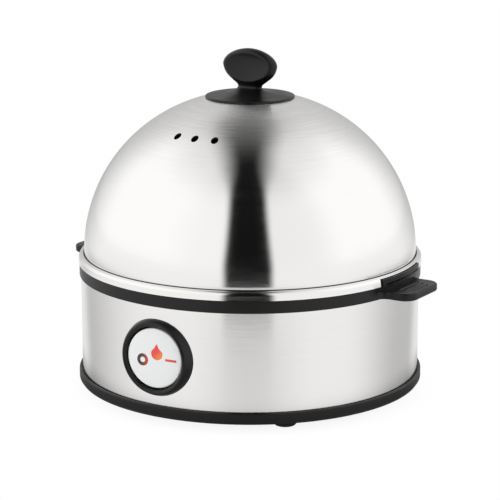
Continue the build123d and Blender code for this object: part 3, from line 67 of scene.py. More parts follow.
# Nearly all values of a noise texture lie between these two.
NOISE = (0.3, 0.7)

Tree = bpy.types.NodeTree
Socket = bpy.types.NodeSocket
Shader = bpy.types.Node
Colour = tuple[float, float, float, float]
Pair = tuple[float, float]
Triple = tuple[float, float, float]
Piece = bpy.types.Object


def mm(*values: float) -> tuple[float, ...]:
    """Millimetres to metres."""
    return tuple(value * MM for value in values)


def radians(*values: float) -> tuple[float, ...]:
    """Degrees to radians."""
    return tuple(math.radians(value) for value in values)


def linear(hex_code: str) -> Colour:
    """Turn an sRGB hex colour to linear RGBA.

    Args:
        hex_code: Six hex digits after a hash sign.

    Returns:
        Linear red, green, blue and an alpha of one.
    """
    codes = [int(hex_code[i:i + 2], 16) / 255 for i in (1, 3, 5)]
    red, green, blue = (c / 12.92 if c <= 0.04045 else ((c + 0.055) / 1.055) ** 2.4 for c in codes)
    return (red, green, blue, 1.0)


def add(tree: Tree, kind: str, inputs: dict | None = None, **settings: object) -> bpy.types.Node:
    """Add a node with its settings, constants and links.

    Args:
        tree: Node tree that gets the node.
        kind: Blender's name of the node type.
        inputs: Input name or index, with a socket to link or a constant to set.
        settings: Properties of the node.

    Returns:
        The new node.
    """
    node = tree.nodes.new(kind)
    for name, value in settings.items():
        setattr(node, name, value)
    for key, value in (inputs or {}).items():
        socket = node.inputs[key]
        if isinstance(value, bpy.types.NodeSocket):
            tree.links.new(value, socket)
        else:
            socket.default_value = value
    return node


def maths(tree: Tree, operation: str, *values: Socket | float) -> Socket:
    """Add a scalar Math node and return its result."""
    return add(tree, "ShaderNodeMath", dict(enumerate(values)), operation=operation).outputs[0]


def product(tree: Tree, *factors: Socket | float) -> Socket:
    """Multiply values from left to right."""
    result = factors[0]
    for factor in factors[1:]:
        result = maths(tree, "MULTIPLY", result, factor)
    return result


def length(tree: Tree, x: Socket, y: Socket) -> Socket:
    """Length of a way with two parts at right angles."""
    return maths(tree, "SQRT", maths(tree, "ADD", product(tree, x, x), product(tree, y, y)))


def distance(tree: Tree, value: Socket, mark: float) -> Socket:
    """How far a value lies from a mark."""
    return maths(tree, "ABSOLUTE", maths(tree, "SUBTRACT", value, mark))


def rest_of(tree: Tree, share: Socket) -> Socket:
    """What a share leaves of one."""
    return maths(tree, "SUBTRACT", 1.0, share)


def blend(tree: Tree, share: Socket, low: Socket, high: Socket) -> Socket:
    """Cross from one value to another as the share goes from 0 to 1."""
    return maths(tree, "ADD", product(tree, low, rest_of(tree, share)), product(tree, high, share))


def tinted(tree: Tree, share: Socket, low: Socket | Colour, high: Socket | Colour) -> Socket:
    """Cross from one colour to another as the share goes from 0 to 1."""
    # The mix node keeps its colours at inputs 6 and 7 and their blend at output 2.
    return add(tree, "ShaderNodeMix", {"Factor": share, 6: low, 7: high}, data_type="RGBA").outputs[2]


def mixed(tree: Tree, share: Socket, first: Socket, second: Socket) -> Socket:
    """Cross from one shader to another as the share goes from 0 to 1."""
    return add(tree, "ShaderNodeMixShader", {0: share, 1: first, 2: second}).outputs[0]


class Ramp(Enum):
    """How a value crosses from one end of a range to the other."""

    STRAIGHT = "LINEAR"
    SMOOTH = "SMOOTHSTEP"


def spread(tree: Tree, value: Socket, low: float, high: float, to_low: float = 0.0, to_high: float = 1.0,
           ramp: Ramp = Ramp.SMOOTH) -> Socket:
    """Map a value from one range to another, held at both ends.

    Args:
        tree: Node tree.
        value: Socket with the value.
        low: Value that gives to_low.
        high: Value that gives to_high.
        to_low: Result at low.
        to_high: Result at high.
        ramp: Shape of the crossing.

    Returns:
        Socket with the result.
    """
    if low > high:
        low, high, to_low, to_high = high, low, to_high, to_low
    node = add(tree, "ShaderNodeMapRange",
               {"Value": value, "From Min": low, "From Max": high, "To Min": to_low, "To Max": to_high},
               interpolation_type=ramp.value)
    return node.outputs[0]


def within(tree: Tree, value: Socket, half_mm: float, soft_mm: float) -> Socket:
    """Mask of a distance below a half-width, with a soft edge."""
    return spread(tree, value, *mm(half_mm + soft_mm, half_mm - soft_mm))


def band(tree: Tree, value: Socket, span_mm: Pair, soft_mm: float) -> Socket:
    """Mask of a value between two marks, with soft edges."""
    low, high = span_mm
    return product(tree, spread(tree, value, *mm(low - soft_mm, low + soft_mm)),
                   spread(tree, value, *mm(high + soft_mm, high - soft_mm)))


def parts(tree: Tree, way: Socket) -> tuple[Socket, ...]:
    """Split a place or direction into x, y and z."""
    return tuple(add(tree, "ShaderNodeSeparateXYZ", {0: way}).outputs)


def here(tree: Tree) -> Socket:
    """Place on the object, in its own frame."""
    return add(tree, "ShaderNodeTexCoord").outputs["Object"]


def on_face(tree: Tree, centre_mm: Pair) -> tuple[Socket, Socket, Socket]:
    """Way across the switch's face from a centre, place front to back, and way up from the centre."""
    x, y, z = parts(tree, here(tree))
    return (maths(tree, "SUBTRACT", x, centre_mm[0] * MM), y,
            maths(tree, "SUBTRACT", z, centre_mm[1] * MM))


def noise(tree: Tree, grain_mm: float, detail: float = 2.0) -> Socket:
    """Noise on the object, with grains of a given size and finer layers over them."""
    return add(tree, "ShaderNodeTexNoise", {"Vector": here(tree), "Scale": 1.0 / (grain_mm * MM),
                                            "Detail": detail}).outputs[0]


def relief(tree: Tree, shader: Shader, height: Socket, strength: float, depth_mm: float) -> None:
    """Give a shader's surface a relief.

    Args:
        tree: Node tree.
        shader: Shader that gets it.
        height: Pattern, from 0 to 1.
        strength: Share of it that shows.
        depth_mm: Its depth.
    """
    bump = add(tree, "ShaderNodeBump", {"Height": height, "Strength": strength, "Distance": depth_mm * MM})
    tree.links.new(bump.outputs[0], shader.inputs["Normal"])


def full_turn(count: int) -> list[float]:
    """Angles of evenly spaced points round a circle."""
    return [2 * math.pi * i / count for i in range(count)]


def arc(radius: float, angles: Iterable[float], x: float = 0.0, y: float = 0.0) -> list[Pair]:
    """Points at given angles on a circle round x and y."""
    return [(x + radius * math.cos(a), y + radius * math.sin(a)) for a in angles]


def lathe(rows: list[list[Vector]], closed: bool) -> bmesh.types.BMesh:
    """Join rings of points to a skin.

    Args:
        rows: Rings with the same number of points each, in metres.
        closed: Whether the last ring joins the first; otherwise both ends are capped at the axis.

    Returns:
        The skin, with its faces turned outwards.
    """
    skin = bmesh.new()
    rings = [[skin.verts.new(point) for point in row] for row in rows]
    count = len(rows[0])
    pairs = list(zip(rings, rings[1:]))
    if closed:
        pairs.append((rings[-1], rings[0]))
    for low, high in pairs:
        for i in range(count):
            j = (i + 1) % count
            skin.faces.new((low[i], low[j], high[j], high[i]))
    if not closed:
        for ring in (rings[0], rings[-1]):
            pole = skin.verts.new((0.0, 0.0, ring[0].co.z))
            for i in range(count):
                skin.faces.new((ring[i], ring[(i + 1) % count], pole))
    bmesh.ops.recalc_face_normals(skin, faces=skin.faces)
    return skin


def prism(skin: bmesh.types.BMesh, plan: list[Pair], low: float, high: float) -> None:
    """Add an upright prism to a mesh.

    Args:
        skin: Mesh that gets the prism.
        plan: Corners seen from above, in millimetres.
        low: Height of its foot.
        high: Height of its top.
    """
    foot = [skin.verts.new(mm(x, y, low)) for x, y in plan]
    top = [skin.verts.new(mm(x, y, high)) for x, y in plan]
    for i in range(len(plan)):
        j = (i + 1) % len(plan)
        skin.faces.new((foot[i], foot[j], top[j], top[i]))
    skin.faces.new(list(reversed(foot)))
    skin.faces.new(top)


def settled(skin: bmesh.types.BMesh, name: str, sharp_deg: float) -> Piece:
    """Turn a mesh under work into an object with soft shading between its sharp edges.

    Args:
        skin: Mesh under work; it is used up.
        name: Name of the object.
        sharp_deg: Angle from which an edge stays sharp.

    Returns:
        The new object.
    """
    mesh = bpy.data.meshes.new(name)
    skin.to_mesh(mesh)
    skin.free()
    return shaded(mesh, name, sharp_deg)


def shaded(mesh: bpy.types.Mesh, name: str, sharp_deg: float) -> Piece:
    """Link a mesh to the scene with soft shading between its sharp edges."""
    for face in mesh.polygons:
        face.use_smooth = True
    mesh.set_sharp_from_angle(angle=math.radians(sharp_deg))
    piece = bpy.data.objects.new(name, mesh)
    bpy.context.scene.collection.objects.link(piece)
    return piece


def carved(blank: Piece, tools: Piece, name: str, sharp_deg: float) -> Piece:
    """Cut one object's shape out of another.

    Args:
        blank: Object to cut.
        tools: What is cut away. Both objects are used up.
        name: Name of the result.
        sharp_deg: Angle from which an edge stays sharp.

    Returns:
        The cut object.
    """
    cut = blank.modifiers.new("cut", "BOOLEAN")
    cut.operation = "DIFFERENCE"
    cut.solver = "EXACT"
    cut.object = tools
    bpy.context.view_layer.update()
    graph = bpy.context.evaluated_depsgraph_get()
    mesh = bpy.data.meshes.new_from_object(blank.evaluated_get(graph))
    mesh.name = name
    for used in (blank, tools):
        data = used.data
        bpy.data.objects.remove(used)
        bpy.data.meshes.remove(data)
    return shaded(mesh, name, sharp_deg)


@dataclass(frozen=True)
class Finish:
    """Base of all finishes: a Principled shader whose detail the subclasses add."""

    name: str
    colour: str
    roughness: float
    metallic: float = 0.0
    ior: float = 1.5

    def build(self) -> bpy.types.Material:
        """Make the material.

        Returns:
            A new material with the finish's shader.
        """
        material = bpy.data.materials.new(self.name)
        material.use_nodes = True
        tree = material.node_tree
        tree.nodes.clear()
        shader = add(tree, "ShaderNodeBsdfPrincipled", {
            "Base Color": linear(self.colour),
            "Roughness": self.roughness,
            "Metallic": self.metallic,
        })
        if self.metallic == 0.0:
            shader.inputs["IOR"].default_value = self.ior
        add(tree, "ShaderNodeOutputMaterial", {"Surface": shader.outputs[0]})
        self.detail(tree, shader)
        return material

    def detail(self, tree: Tree, shader: Shader) -> None:
        """Add pattern and relief to the plain shader."""

    def uneven(self, tree: Tree, grain: Socket, cloud: float) -> Socket:
        """Roughness that follows a noise and changes by a share, the cloud, at most."""
        return spread(tree, grain, *NOISE, self.roughness * (1 - cloud), self.roughness * (1 + cloud))


@dataclass(frozen=True)
class BrushedSteel(Finish):
    """Stainless steel sheet brushed around the axis.

    The fine scratches run round the axis, so a reflection stays sharp sideways and is drawn out up
    and down. Where light meets dark the scratches show as thin streaks. Punched edges are sheared
    and stay dull, and painted shade darkens their walls and the crease at the dome's foot.
    """

    line_mm: float = 0.75
    line_long_mm: float = 16.0
    # The wide streaks are longer and wider than the fine ones by these factors.
    wide: Pair = (3.0, 4.0)
    fine_share: float = 0.65
    streak_rough: float = 0.6
    strength: float = 0.5
    depth_mm: float = 0.035
    cloud: float = 0.15
    drawn_out: float = 0.86
    # Scratches darken the steel by a small share, and by a larger one near the crown.
    scratch: Pair = (0.65, 0.35)
    shade: float = 0.016
    crown_shade: float = 0.065
    marked_mm: Pair = (68.0, 48.0)
    coarse_mm: Pair = (60.0, 30.0)
    coarse_share: float = 1.9
    # Sheared walls of the steam holes: dark colour (painted shade there and in the crease), added roughness,
    # how upright they are, and where.
    edge: str = "#3A3938"
    dull: float = 0.4
    wall_tilt: Pair = (0.25, 0.15)
    hole_ring_mm: Pair = (44.0, 53.0)
    hole_ring_soft: float = 0.95
    hole_z_mm: Pair = (118.0, 119.0)
    # Radii and heights of the crease at the dome's foot, which gets painted shade.
    crease_mm: Pair = (79.55, 80.42)
    crease_z_mm: Pair = (66.05, 67.0)
    crease_soft_mm: float = 0.08
    crease_shade_share: float = 0.85

    def detail(self, tree: Tree, shader: Shader) -> None:
        """Scratches round the Z axis in relief, tone and sheen, dull punched edges, and painted shade on the
        hole walls and in the crease.
        """
        x, y, z = parts(tree, here(tree))
        reach = length(tree, x, y)
        # Along the surface, up or in, both height and radius count: their difference runs down a dome.
        across = maths(tree, "SUBTRACT", z, reach)
        along = product(tree, maths(tree, "ARCTAN2", y, x), reach)
        longer, wider = self.wide
        fine = self.streaks(tree, along, across, self.line_long_mm, self.line_mm)
        wide = self.streaks(tree, along, across, longer * self.line_long_mm, wider * self.line_mm)
        both = maths(tree, "ADD", product(tree, fine, self.fine_share),
                     product(tree, wide, 1.0 - self.fine_share))
        # The scratches show most near the crown, where the brush meets the sheet at a slant.
        marked = spread(tree, reach, *mm(*self.marked_mm), self.shade / self.crown_shade, 1.0)
        clean = rest_of(tree, product(tree, marked, spread(tree, both, *self.scratch)))
        tone = linear(self.colour)
        deep = tuple(part * (1.0 - self.crown_shade) for part in tone[:3]) + (1.0,)
        # Painted shade: the steam holes' walls and the crease at the dome's foot are tinted towards the dark
        # edge colour.
        cut = maths(tree, "MAXIMUM", self.punched(tree, reach, z),
                    product(tree, self.crease_shade_mask(tree, reach, z), self.crease_shade_share))
        skin = tinted(tree, cut, tinted(tree, clean, deep, tone), linear(self.edge))
        tree.links.new(skin, shader.inputs["Base Color"])
        # There the brush also cuts coarser.
        crown = spread(tree, reach, *mm(*self.coarse_mm), 1.0, self.coarse_share)
        rough = product(tree, self.uneven(tree, both, self.cloud), crown)
        rough = maths(tree, "ADD", rough, product(tree, cut, self.dull))
        tree.links.new(rough, shader.inputs["Roughness"])
        shader.inputs["Anisotropic"].default_value = self.drawn_out
        # A quarter turn sets the drawn-out direction across the scratches.
        shader.inputs["Anisotropic Rotation"].default_value = 0.25
        tangent = add(tree, "ShaderNodeTangent", direction_type="RADIAL", axis="Z")
        tree.links.new(tangent.outputs[0], shader.inputs["Tangent"])
        relief(tree, shader, both, self.strength, self.depth_mm)

    def streaks(self, tree: Tree, along: Socket, across: Socket, long_mm: float, wide_mm: float) -> Socket:
        """Noise drawn out round the axis.

        Args:
            tree: Node tree.
            along: Way round the axis.
            across: Way along the sheet at right angles to the brushing.
            long_mm: Typical length of a streak. It also serves as depth in the noise, so layers differ.
            wide_mm: Typical width of a streak.

        Returns:
            Socket with the noise, from 0 to 1.
        """
        where = add(tree, "ShaderNodeCombineXYZ", {
            0: maths(tree, "DIVIDE", along, long_mm * MM),
            1: maths(tree, "DIVIDE", across, wide_mm * MM),
            2: long_mm,
        })
        return add(tree, "ShaderNodeTexNoise", {"Vector": where.outputs[0], "Scale": 1.0, "Detail": 2.0,
                                                "Roughness": self.streak_rough}).outputs[0]

    def punched(self, tree: Tree, reach: Socket, z: Socket) -> Socket:
        """Mask of the sheared walls of the steam holes, whose dark colour is painted shade and whose dullness
        is the sheared steel's own.

        Args:
            tree: Node tree.
            reach: Distance from the axis.
            z: Height.

        Returns:
            Socket with 1 on the walls.
        """
        facing = add(tree, "ShaderNodeNewGeometry").outputs["True Normal"]
        wall = spread(tree, maths(tree, "ABSOLUTE", parts(tree, facing)[2]), *self.wall_tilt)
        inner, outer = mm(*self.hole_ring_mm)
        half = (outer - inner) / 2
        near = spread(tree, distance(tree, reach, (inner + outer) / 2), half, half * self.hole_ring_soft)
        return product(tree, wall, near, spread(tree, z, *mm(*self.hole_z_mm)))

    def crease_shade_mask(self, tree: Tree, reach: Socket, z: Socket) -> Socket:
        """Mask of painted shade in the crease at the dome's foot, which brushing and light hardly reach."""
        return product(tree, band(tree, reach, self.crease_mm, self.crease_soft_mm),
                       band(tree, z, self.crease_z_mm, self.crease_soft_mm))


@dataclass(frozen=True)
class Moulded(Finish):
    """Injection-moulded plastic with a fine spark-eroded grain.

    The grain breaks up the sheen, so edges catch a soft grey light and flats stay deep.
    """

    grain_mm: float = 0.45
    strength: float = 0.3
    depth_mm: float = 0.02
    cloud: float = 0.12
    cloud_mm: float = 11.111

    def detail(self, tree: Tree, shader: Shader) -> None:
        """Grain in relief and a slight unevenness of sheen."""
        rough = self.uneven(tree, noise(tree, self.cloud_mm), self.cloud)
        tree.links.new(rough, shader.inputs["Roughness"])
        relief(tree, shader, noise(tree, self.grain_mm), self.strength, self.depth_mm)


@dataclass(frozen=True)
class MarkedRocker(Moulded):
    """White gloss ABS with a printed ring and dash, tinted by the lamp between them."""

    centre_mm: Pair = (0.3, 32.5)
    front_mm: Pair = (-80.5, -81.0)
    ring_mm: Pair = (-6.3, -1.3)
    ring_r_mm: float = 2.08
    stroke_mm: float = 1.62
    dash_mm: Pair = (8.4, -0.1)
    dash_size_mm: Pair = (5.8, 1.15)
    soft_mm: float = 0.08
    far_ink: str = "#35272E"
    near_ink: str = "#D8452E"
    # Where the lamp stands across the face, and how far from it the marks are cold and warm.
    glow_mm: Triple = (3.5, 11.5, 5.0)

    def detail(self, tree: Tree, shader: Shader) -> None:
        """Printed marks in the plane of the rocker's face, over the moulded grain."""
        super().detail(tree, shader)
        x, y, z = on_face(tree, self.centre_mm)
        out = length(tree, maths(tree, "SUBTRACT", x, self.ring_mm[0] * MM),
                     maths(tree, "SUBTRACT", z, self.ring_mm[1] * MM))
        ring = within(tree, distance(tree, out, self.ring_r_mm * MM), self.stroke_mm / 2, self.soft_mm)
        dash = product(tree, *(within(tree, distance(tree, way, at * MM), size / 2, self.soft_mm)
                               for way, at, size in zip((x, z), self.dash_mm, self.dash_size_mm)))
        ink = product(tree, maths(tree, "MAXIMUM", ring, dash), spread(tree, y, *mm(*self.front_mm)))
        # The lamp shines through the thin marks: they glow warm near the drop and stay dark away from it.
        lamp, cold, hot = mm(*self.glow_mm)
        warm = spread(tree, distance(tree, x, lamp), cold, hot)
        tint = tinted(tree, warm, linear(self.far_ink), linear(self.near_ink))
        tree.links.new(tinted(tree, ink, linear(self.colour), tint), shader.inputs["Base Color"])


@dataclass(frozen=True)
class LitWindow(Finish):
    """Clear red polycarbonate lit from behind: salmon above, turning orange towards the lamp."""

    hot: str = "#DF7A38"
    centre_mm: Pair = (1.5, 35.6)
    turning_mm: Pair = (-1.0, 5.0)
    glow: float = 0.12

    def detail(self, tree: Tree, shader: Shader) -> None:
        """Glow that turns from the base colour to orange at the lower right."""
        x, _, z = on_face(tree, self.centre_mm)
        warm = spread(tree, maths(tree, "SUBTRACT", x, z), *mm(*self.turning_mm))
        tint = tinted(tree, warm, linear(self.colour), linear(self.hot))
        tree.links.new(tint, shader.inputs["Base Color"])
        tree.links.new(tint, shader.inputs["Emission Color"])
        shader.inputs["Emission Strength"].default_value = self.glow


@dataclass(frozen=True)
class WorkedMetal(Finish):
    """Plated, drawn or cast metal inside the housing, with a slightly uneven surface."""

    grain_mm: float = 1.2
    grain_detail: float = 3.0
    cloud: float = 0.2
    strength: float = 0.15
    depth_mm: float = 0.01

    def detail(self, tree: Tree, shader: Shader) -> None:
        """Uneven roughness and a faint relief."""
        grain = noise(tree, self.grain_mm, self.grain_detail)
        tree.links.new(self.uneven(tree, grain, self.cloud), shader.inputs["Roughness"])
        relief(tree, shader, grain, self.strength, self.depth_mm)


@dataclass(frozen=True)
class LampGlass(Finish):
    """Clear glass of the small glow lamp."""

    clear: float = 0.8
    glow_tint: str = "#FF7A3C"
    glow: float = 0.6
    haze_mm: float = 2.0
    haze_share: float = 2.0

    def detail(self, tree: Tree, shader: Shader) -> None:
        """Light passes through, with the glow inside."""
        shader.inputs["Transmission Weight"].default_value = self.clear
        shader.inputs["Emission Color"].default_value = linear(self.glow_tint)
        shader.inputs["Emission Strength"].default_value = self.glow
        haze = noise(tree, self.haze_mm)
        rough = spread(tree, haze, *NOISE, self.roughness, self.roughness * self.haze_share)
        tree.links.new(rough, shader.inputs["Roughness"])


FINISHES: dict[str, Finish] = {
    # Stainless sheet, brushed round the axis: sharp sideways, drawn out up and down.
    "brushed_steel": BrushedSteel("brushed_stainless_steel", "#F4F3F1", 0.14, metallic=1.0),
    # Polypropylene moulded in a spark-eroded tool: deep black with a soft grey sheen.
    "black_plastic": Moulded("black_moulded_pp", "#080808", 0.38, ior=1.41),
    # The tray is moulded of the same plastic in a duller tool.
    "tray_plastic": Moulded("black_tray_pp", "#0A0A0B", 0.43, ior=1.41),
    # ABS moulded in a polished tool, so the rocker looks smooth and cool white.
    "white_plastic": MarkedRocker("white_gloss_abs", "#E2E4E3", 0.30, ior=1.54, depth_mm=0.003,
                                  cloud=0.03),
    # Nylon left in its own colour: milky, slightly yellow, dull.
    "natural_plastic": Moulded("natural_nylon", "#DAD6C8", 0.5, ior=1.53),
    # Filled phenolic pressed hot: brownish black and matt.
    "heat_black": Moulded("black_phenolic", "#1A1817", 0.5, ior=1.6),
    # Clear red polycarbonate over the lamp: glows salmon and orange.
    "lamp_red": LitWindow("lit_red_polycarbonate", "#D63F36", 0.25, ior=1.58),
    # Deep-drawn stainless sheet: even, half bright.
    "pan_steel": WorkedMetal("drawn_stainless_steel", "#D8D7D4", 0.25, metallic=1.0, grain_mm=6.0,
                             cloud=0.08, depth_mm=0.004),
    # Drawn tube after annealing: a darker, duller skin.
    "tube_steel": WorkedMetal("annealed_steel_tube", "#8F8B85", 0.4, metallic=1.0),
    # Pressed or turned steel with bright zinc plate: cool and a little cloudy.
    "zinc_steel": WorkedMetal("zinc_plated_steel", "#BFC3C6", 0.34, metallic=1.0, grain_mm=0.8),
    # Cast aluminium as it leaves the mould: pale and grainy.
    "cast_aluminium": WorkedMetal("cast_aluminium", "#B4B4B2", 0.52, metallic=1.0, grain_mm=0.7),
    # Rolled and punched brass strip: warm and fairly bright.
    "contact_brass": WorkedMetal("rolled_brass", "#D6B065", 0.3, metallic=1.0),
    # Moulded rubber: black and quite matt.
    "rubber": Moulded("black_rubber", "#141414", 0.7, ior=1.52, grain_mm=0.7),
    # Moulded silicone: whitish and soft in the light.
    "silicone": Moulded("white_silicone", "#D9D9D4", 0.5, ior=1.41),
    # Blown glass, glowing inside.
    "lamp_glass": LampGlass("lamp_glass", "#F6DCCB", 0.08, ior=1.5),
    # Silicone skin extruded over stranded wire.
    "lead_skin": Moulded("silicone_lead", "#C9C3B6", 0.55, ior=1.41),
}


@dataclass
class Model:
    """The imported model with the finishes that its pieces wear."""

    nodes: dict[str, Piece]
    slots: dict[str, str]
    made: dict[str, bpy.types.Material] = field(default_factory=dict)

    def wear(self, piece: Piece, slot: str) -> None:
        """Give a piece the finish of a slot.

        Args:
            piece: Piece whose mesh gets the finish.
            slot: Material slot of the record.
        """
        if slot not in self.made:
            self.made[slot] = FINISHES[slot].build()
        piece.data.materials.clear()
        piece.data.materials.append(self.made[slot])
        LOG.info("%s wears %s", piece.name, self.made[slot].name)

    def stand_in(self, piece: Piece, node: str, body: str) -> None:
        """Let a modelled piece stand for an imported one, with its body and finish.

        Args:
            piece: The modelled piece.
            node: Node that it stands for.
            body: Body that it moves with.
        """
        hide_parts(node)
        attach(piece, body)
        self.wear(piece, self.slots[node])


@dataclass
class SubAssembly:
    """Pieces that belong together."""

    model: Model
    pieces: ClassVar[tuple[str, ...]] = ()

    def build(self) -> None:
        """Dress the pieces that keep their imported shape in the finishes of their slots."""
        for name in self.pieces:
            self.model.wear(self.model.nodes[name], self.model.slots[name])


@dataclass
class Housing(SubAssembly):
    """Base, drum and upper ring with what holds them together."""

    pieces: ClassVar[tuple[str, ...]] = ("base_tray", "drum_shell", "handle_ring", "base_screws", "rubber_feet",
                                         "cord_gland")


@dataclass
class Boiler(SubAssembly):
    """Water pan with the heater, its cut-outs and its clamp below."""

    pieces: ClassVar[tuple[str, ...]] = ("water_pan", "pan_gasket", "pan_stud", "clamp_bar", "clamp_nut",
                                         "heat_plate", "heating_element", "element_tabs", "thermostat",
                                         "thermostat_bracket", "plate_screws", "thermal_fuse", "fuse_clip")


@dataclass
class Wiring(SubAssembly):
    """Terminal block, buzzer and leads on the floor of the base."""

    pieces: ClassVar[tuple[str, ...]] = ("terminal_block", "buzzer", "inner_leads")


@dataclass
class Switch(SubAssembly):
    """Round rocker switch with its lit window and the contacts behind it."""

    pieces: ClassVar[tuple[str, ...]] = ("switch_bezel", "rocker_cap", "drop_lens", "plunger", "plunger_spring",
                                         "contact_lever", "switch_body", "switch_terminals", "indicator_lamp")


@dataclass
class EggTray(SubAssembly):
    """Tray with seven egg holes and two lifting lugs."""

    pieces: ClassVar[tuple[str, ...]] = ("egg_tray",)


@dataclass
class Lid(SubAssembly):
    """Dome lid with its knob, both modelled anew.

    The dome is turned on even rings, so its mirrored bands run clean. The knob gets the soft rims
    that its dishes have, and its heights count from the dome's crown, where it sits.
    """

    pieces: ClassVar[tuple[str, ...]] = ("knob_washer", "knob_screw")
    dome_r_mm: float = 80.0
    dome_h_mm: float = 77.5
    dome_low_mm: float = 66.05
    # Powers of the cosine and sine that shape the dome's side. Its outside starts above the crease.
    dome_plan: float = 0.973
    dome_rise: float = 0.986
    outside_from: float = 0.012
    crown_flat_mm: float = 19.8
    steel_mm: float = 0.6
    edge_mm: Pair = (82.7, 62.4)
    edge_h_mm: float = 4.2
    lean_mm: float = 0.2
    shoulder_mm: float = 2.1
    # Way in and down to the three bends of the sheet's inside, below crease and shoulder.
    lining_mm: tuple[Pair, Pair, Pair] = ((0.0, 1.4), (0.8, 1.7), (0.0, 0.6))
    crease_mm: Pair = (0.45, 0.4)
    hem_mm: Pair = (1.5, 1.0)
    notch_half_deg: float = 13.7
    notch_turn_deg: float = 2.0
    notch_h_mm: float = 3.55
    # How far the notch's cutter reaches past the sheet: inwards, outwards and down.
    notch_past_mm: Triple = (2.0, 3.0, 1.0)
    notch_steps: int = 24
    steam_at_mm: float = 48.2
    steam_r_mm: float = 1.75
    steam_step_deg: float = 12.1
    steam_around: int = 40
    screw_hole_r_mm: float = 1.7
    dome_around: int = 288
    dome_rows: int = 84
    shoulder_rows: int = 14
    dome_sharp_deg: float = 30.0
    crown_mm: float = 23.0
    grip_at_mm: float = 15.0
    grip_r_mm: float = 14.6
    grip_rows: int = 50
    flat: float = 0.42
    corner: float = 1.07
    # Half-width and height of the outline, and depth over width: rim, collar, neck, swelling grip.
    rising_mm: tuple[Triple, ...] = (
        (21.3, 0.22, 1.0), (21.12, 0.58, 1.0), (20.5, 0.74, 1.0), (18.0, 0.96, 1.0), (15.0, 1.25, 1.0),
        (12.2, 1.62, 1.0), (9.9, 2.15, 0.94), (8.0, 2.95, 0.76), (6.85, 3.8, 0.54), (6.4, 4.7, 0.43),
        (6.85, 5.7, 0.42), (9.49, 7.72, 0.42), (12.5, 10.22, 0.42), (14.0, 12.71, 0.42))
    under_mm: tuple[Pair, ...] = ((1.55, 9.0), (1.55, 0.0), (19.8, 0.0), (21.3, -0.3))
    dish_half_mm: Triple = (18.4, 6.2, 9.0)
    dish_at_mm: float = 14.9
    dish_deep_mm: float = 4.4
    dish_rim_mm: float = 0.9
    knob_around: int = 176
    step_mm: float = 0.32
    knob_sharp_deg: float = 40.0

    def build(self) -> None:
        """Model the dome and the knob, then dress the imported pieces."""
        self.dome()
        self.knob()
        super().build()

    def outline(self) -> list[Triple]:
        """Half-width, height and flatness of the knob from the screw's bore, over the rim, to the crown."""
        corners = [(r, z, 1.0) for r, z in self.under_mm]
        over = []
        for i in range(self.grip_rows):
            angle = math.pi / 2 * i / self.grip_rows
            over.append((self.grip_r_mm * math.cos(angle) ** self.corner,
                         self.grip_at_mm + (self.crown_mm - self.grip_at_mm) * math.sin(angle) ** self.corner,
                         self.flat))
        return corners + self.flowing(list(self.rising_mm), over[:2]) + over

    def flowing(self, knots: list[Triple], onward: list[Triple]) -> list[Triple]:
        """Run a smooth line through the knots.

        Args:
            knots: Points of the line.
            onward: The points after it, which set where it heads at its end.

        Returns:
            Points from the first knot to just before the first point after them.
        """
        way = [Vector(knot) for knot in knots + onward]
        way.insert(0, 2 * way[0] - way[1])
        line = []
        for near in zip(way, way[1:], way[2:], way[3:]):
            count = max(1, round((near[2] - near[1]).length / self.step_mm))
            times = [0.0]
            for a, b in zip(near, near[1:]):
                times.append(times[-1] + math.sqrt((b - a).length))
            for i in range(count):
                line.append(self.between(near, times, times[1] + (times[2] - times[1]) * i / count))
        return line

    @staticmethod
    def between(points: tuple[Vector, ...], times: list[float], at: float) -> Triple:
        """Point of a smooth line between the second and third of four points.

        Args:
            points: The four points.
            times: When the line passes each of them.
            at: The time asked for.

        Returns:
            The point.
        """
        level = list(points)
        for reach in (1, 2, 3):
            last = level
            level = []
            for i in range(len(last) - 1):
                # The last round blends over the middle span only.
                start, end = (times[1], times[2]) if reach == 3 else (times[i], times[i + reach])
                share = (at - start) / (end - start)
                level.append(last[i].lerp(last[i + 1], share))
        return tuple(level[0])

    def dished(self, x: float, y: float, z: float) -> float:
        """Pull a point of the grip in where the finger dishes are.

        Args:
            x: Place across the grip, in millimetres.
            y: Place front to back.
            z: Height over the seat.

        Returns:
            The new place front to back.
        """
        half_x, half_y, half_z = self.dish_half_mm
        inside = 1.0 - (x / half_x) ** 2 - ((z - self.dish_at_mm) / half_z) ** 2
        if inside <= 0.0:
            return y
        centre = self.grip_r_mm * self.flat - self.dish_deep_mm + half_y
        face = centre - half_y * math.sqrt(inside)
        # The lower of grip and dish, rounded over the width of the rim where they meet.
        share = min(1.0, max(0.0, 0.5 + 0.5 * (face - abs(y)) / self.dish_rim_mm))
        depth = face + (abs(y) - face) * share - self.dish_rim_mm * share * (1.0 - share)
        return math.copysign(min(abs(y), depth), y)

    def knob(self) -> None:
        """Model collar, neck and dished grip as one closed skin."""
        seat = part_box("lid_knob")[1][2] / MM - self.crown_mm
        rows = []
        for r, z, flat in self.outline():
            ring = []
            for x, round_y in arc(r, full_turn(self.knob_around)):
                ring.append(Vector(mm(x, self.dished(x, round_y * flat, z), seat + z)))
            rows.append(ring)
        skin = settled(lathe(rows, closed=False), "soft_knob", self.knob_sharp_deg)
        self.model.stand_in(skin, "lid_knob", "lid")

    def dome_point(self, inset: float, t: float) -> Pair:
        """Radius and height of the dome's skin.

        Args:
            inset: How far inside the outer skin.
            t: Parameter, from 0 at the rim to a quarter turn at the top.

        Returns:
            Radius and height in millimetres.
        """
        return ((self.dome_r_mm - inset) * math.cos(t) ** self.dome_plan,
                self.dome_low_mm + (self.dome_h_mm - inset) * math.sin(t) ** self.dome_rise)

    def dome_side(self, inset: float, start: float) -> list[Pair]:
        """Outline of one side of the dome's skin, from the rim up to the edge of the flat crown."""
        end = math.acos((self.crown_flat_mm / (self.dome_r_mm - inset)) ** (1 / self.dome_plan))
        steps = self.dome_rows
        return [self.dome_point(inset, start + (end - start) * i / steps) for i in range(steps + 1)]

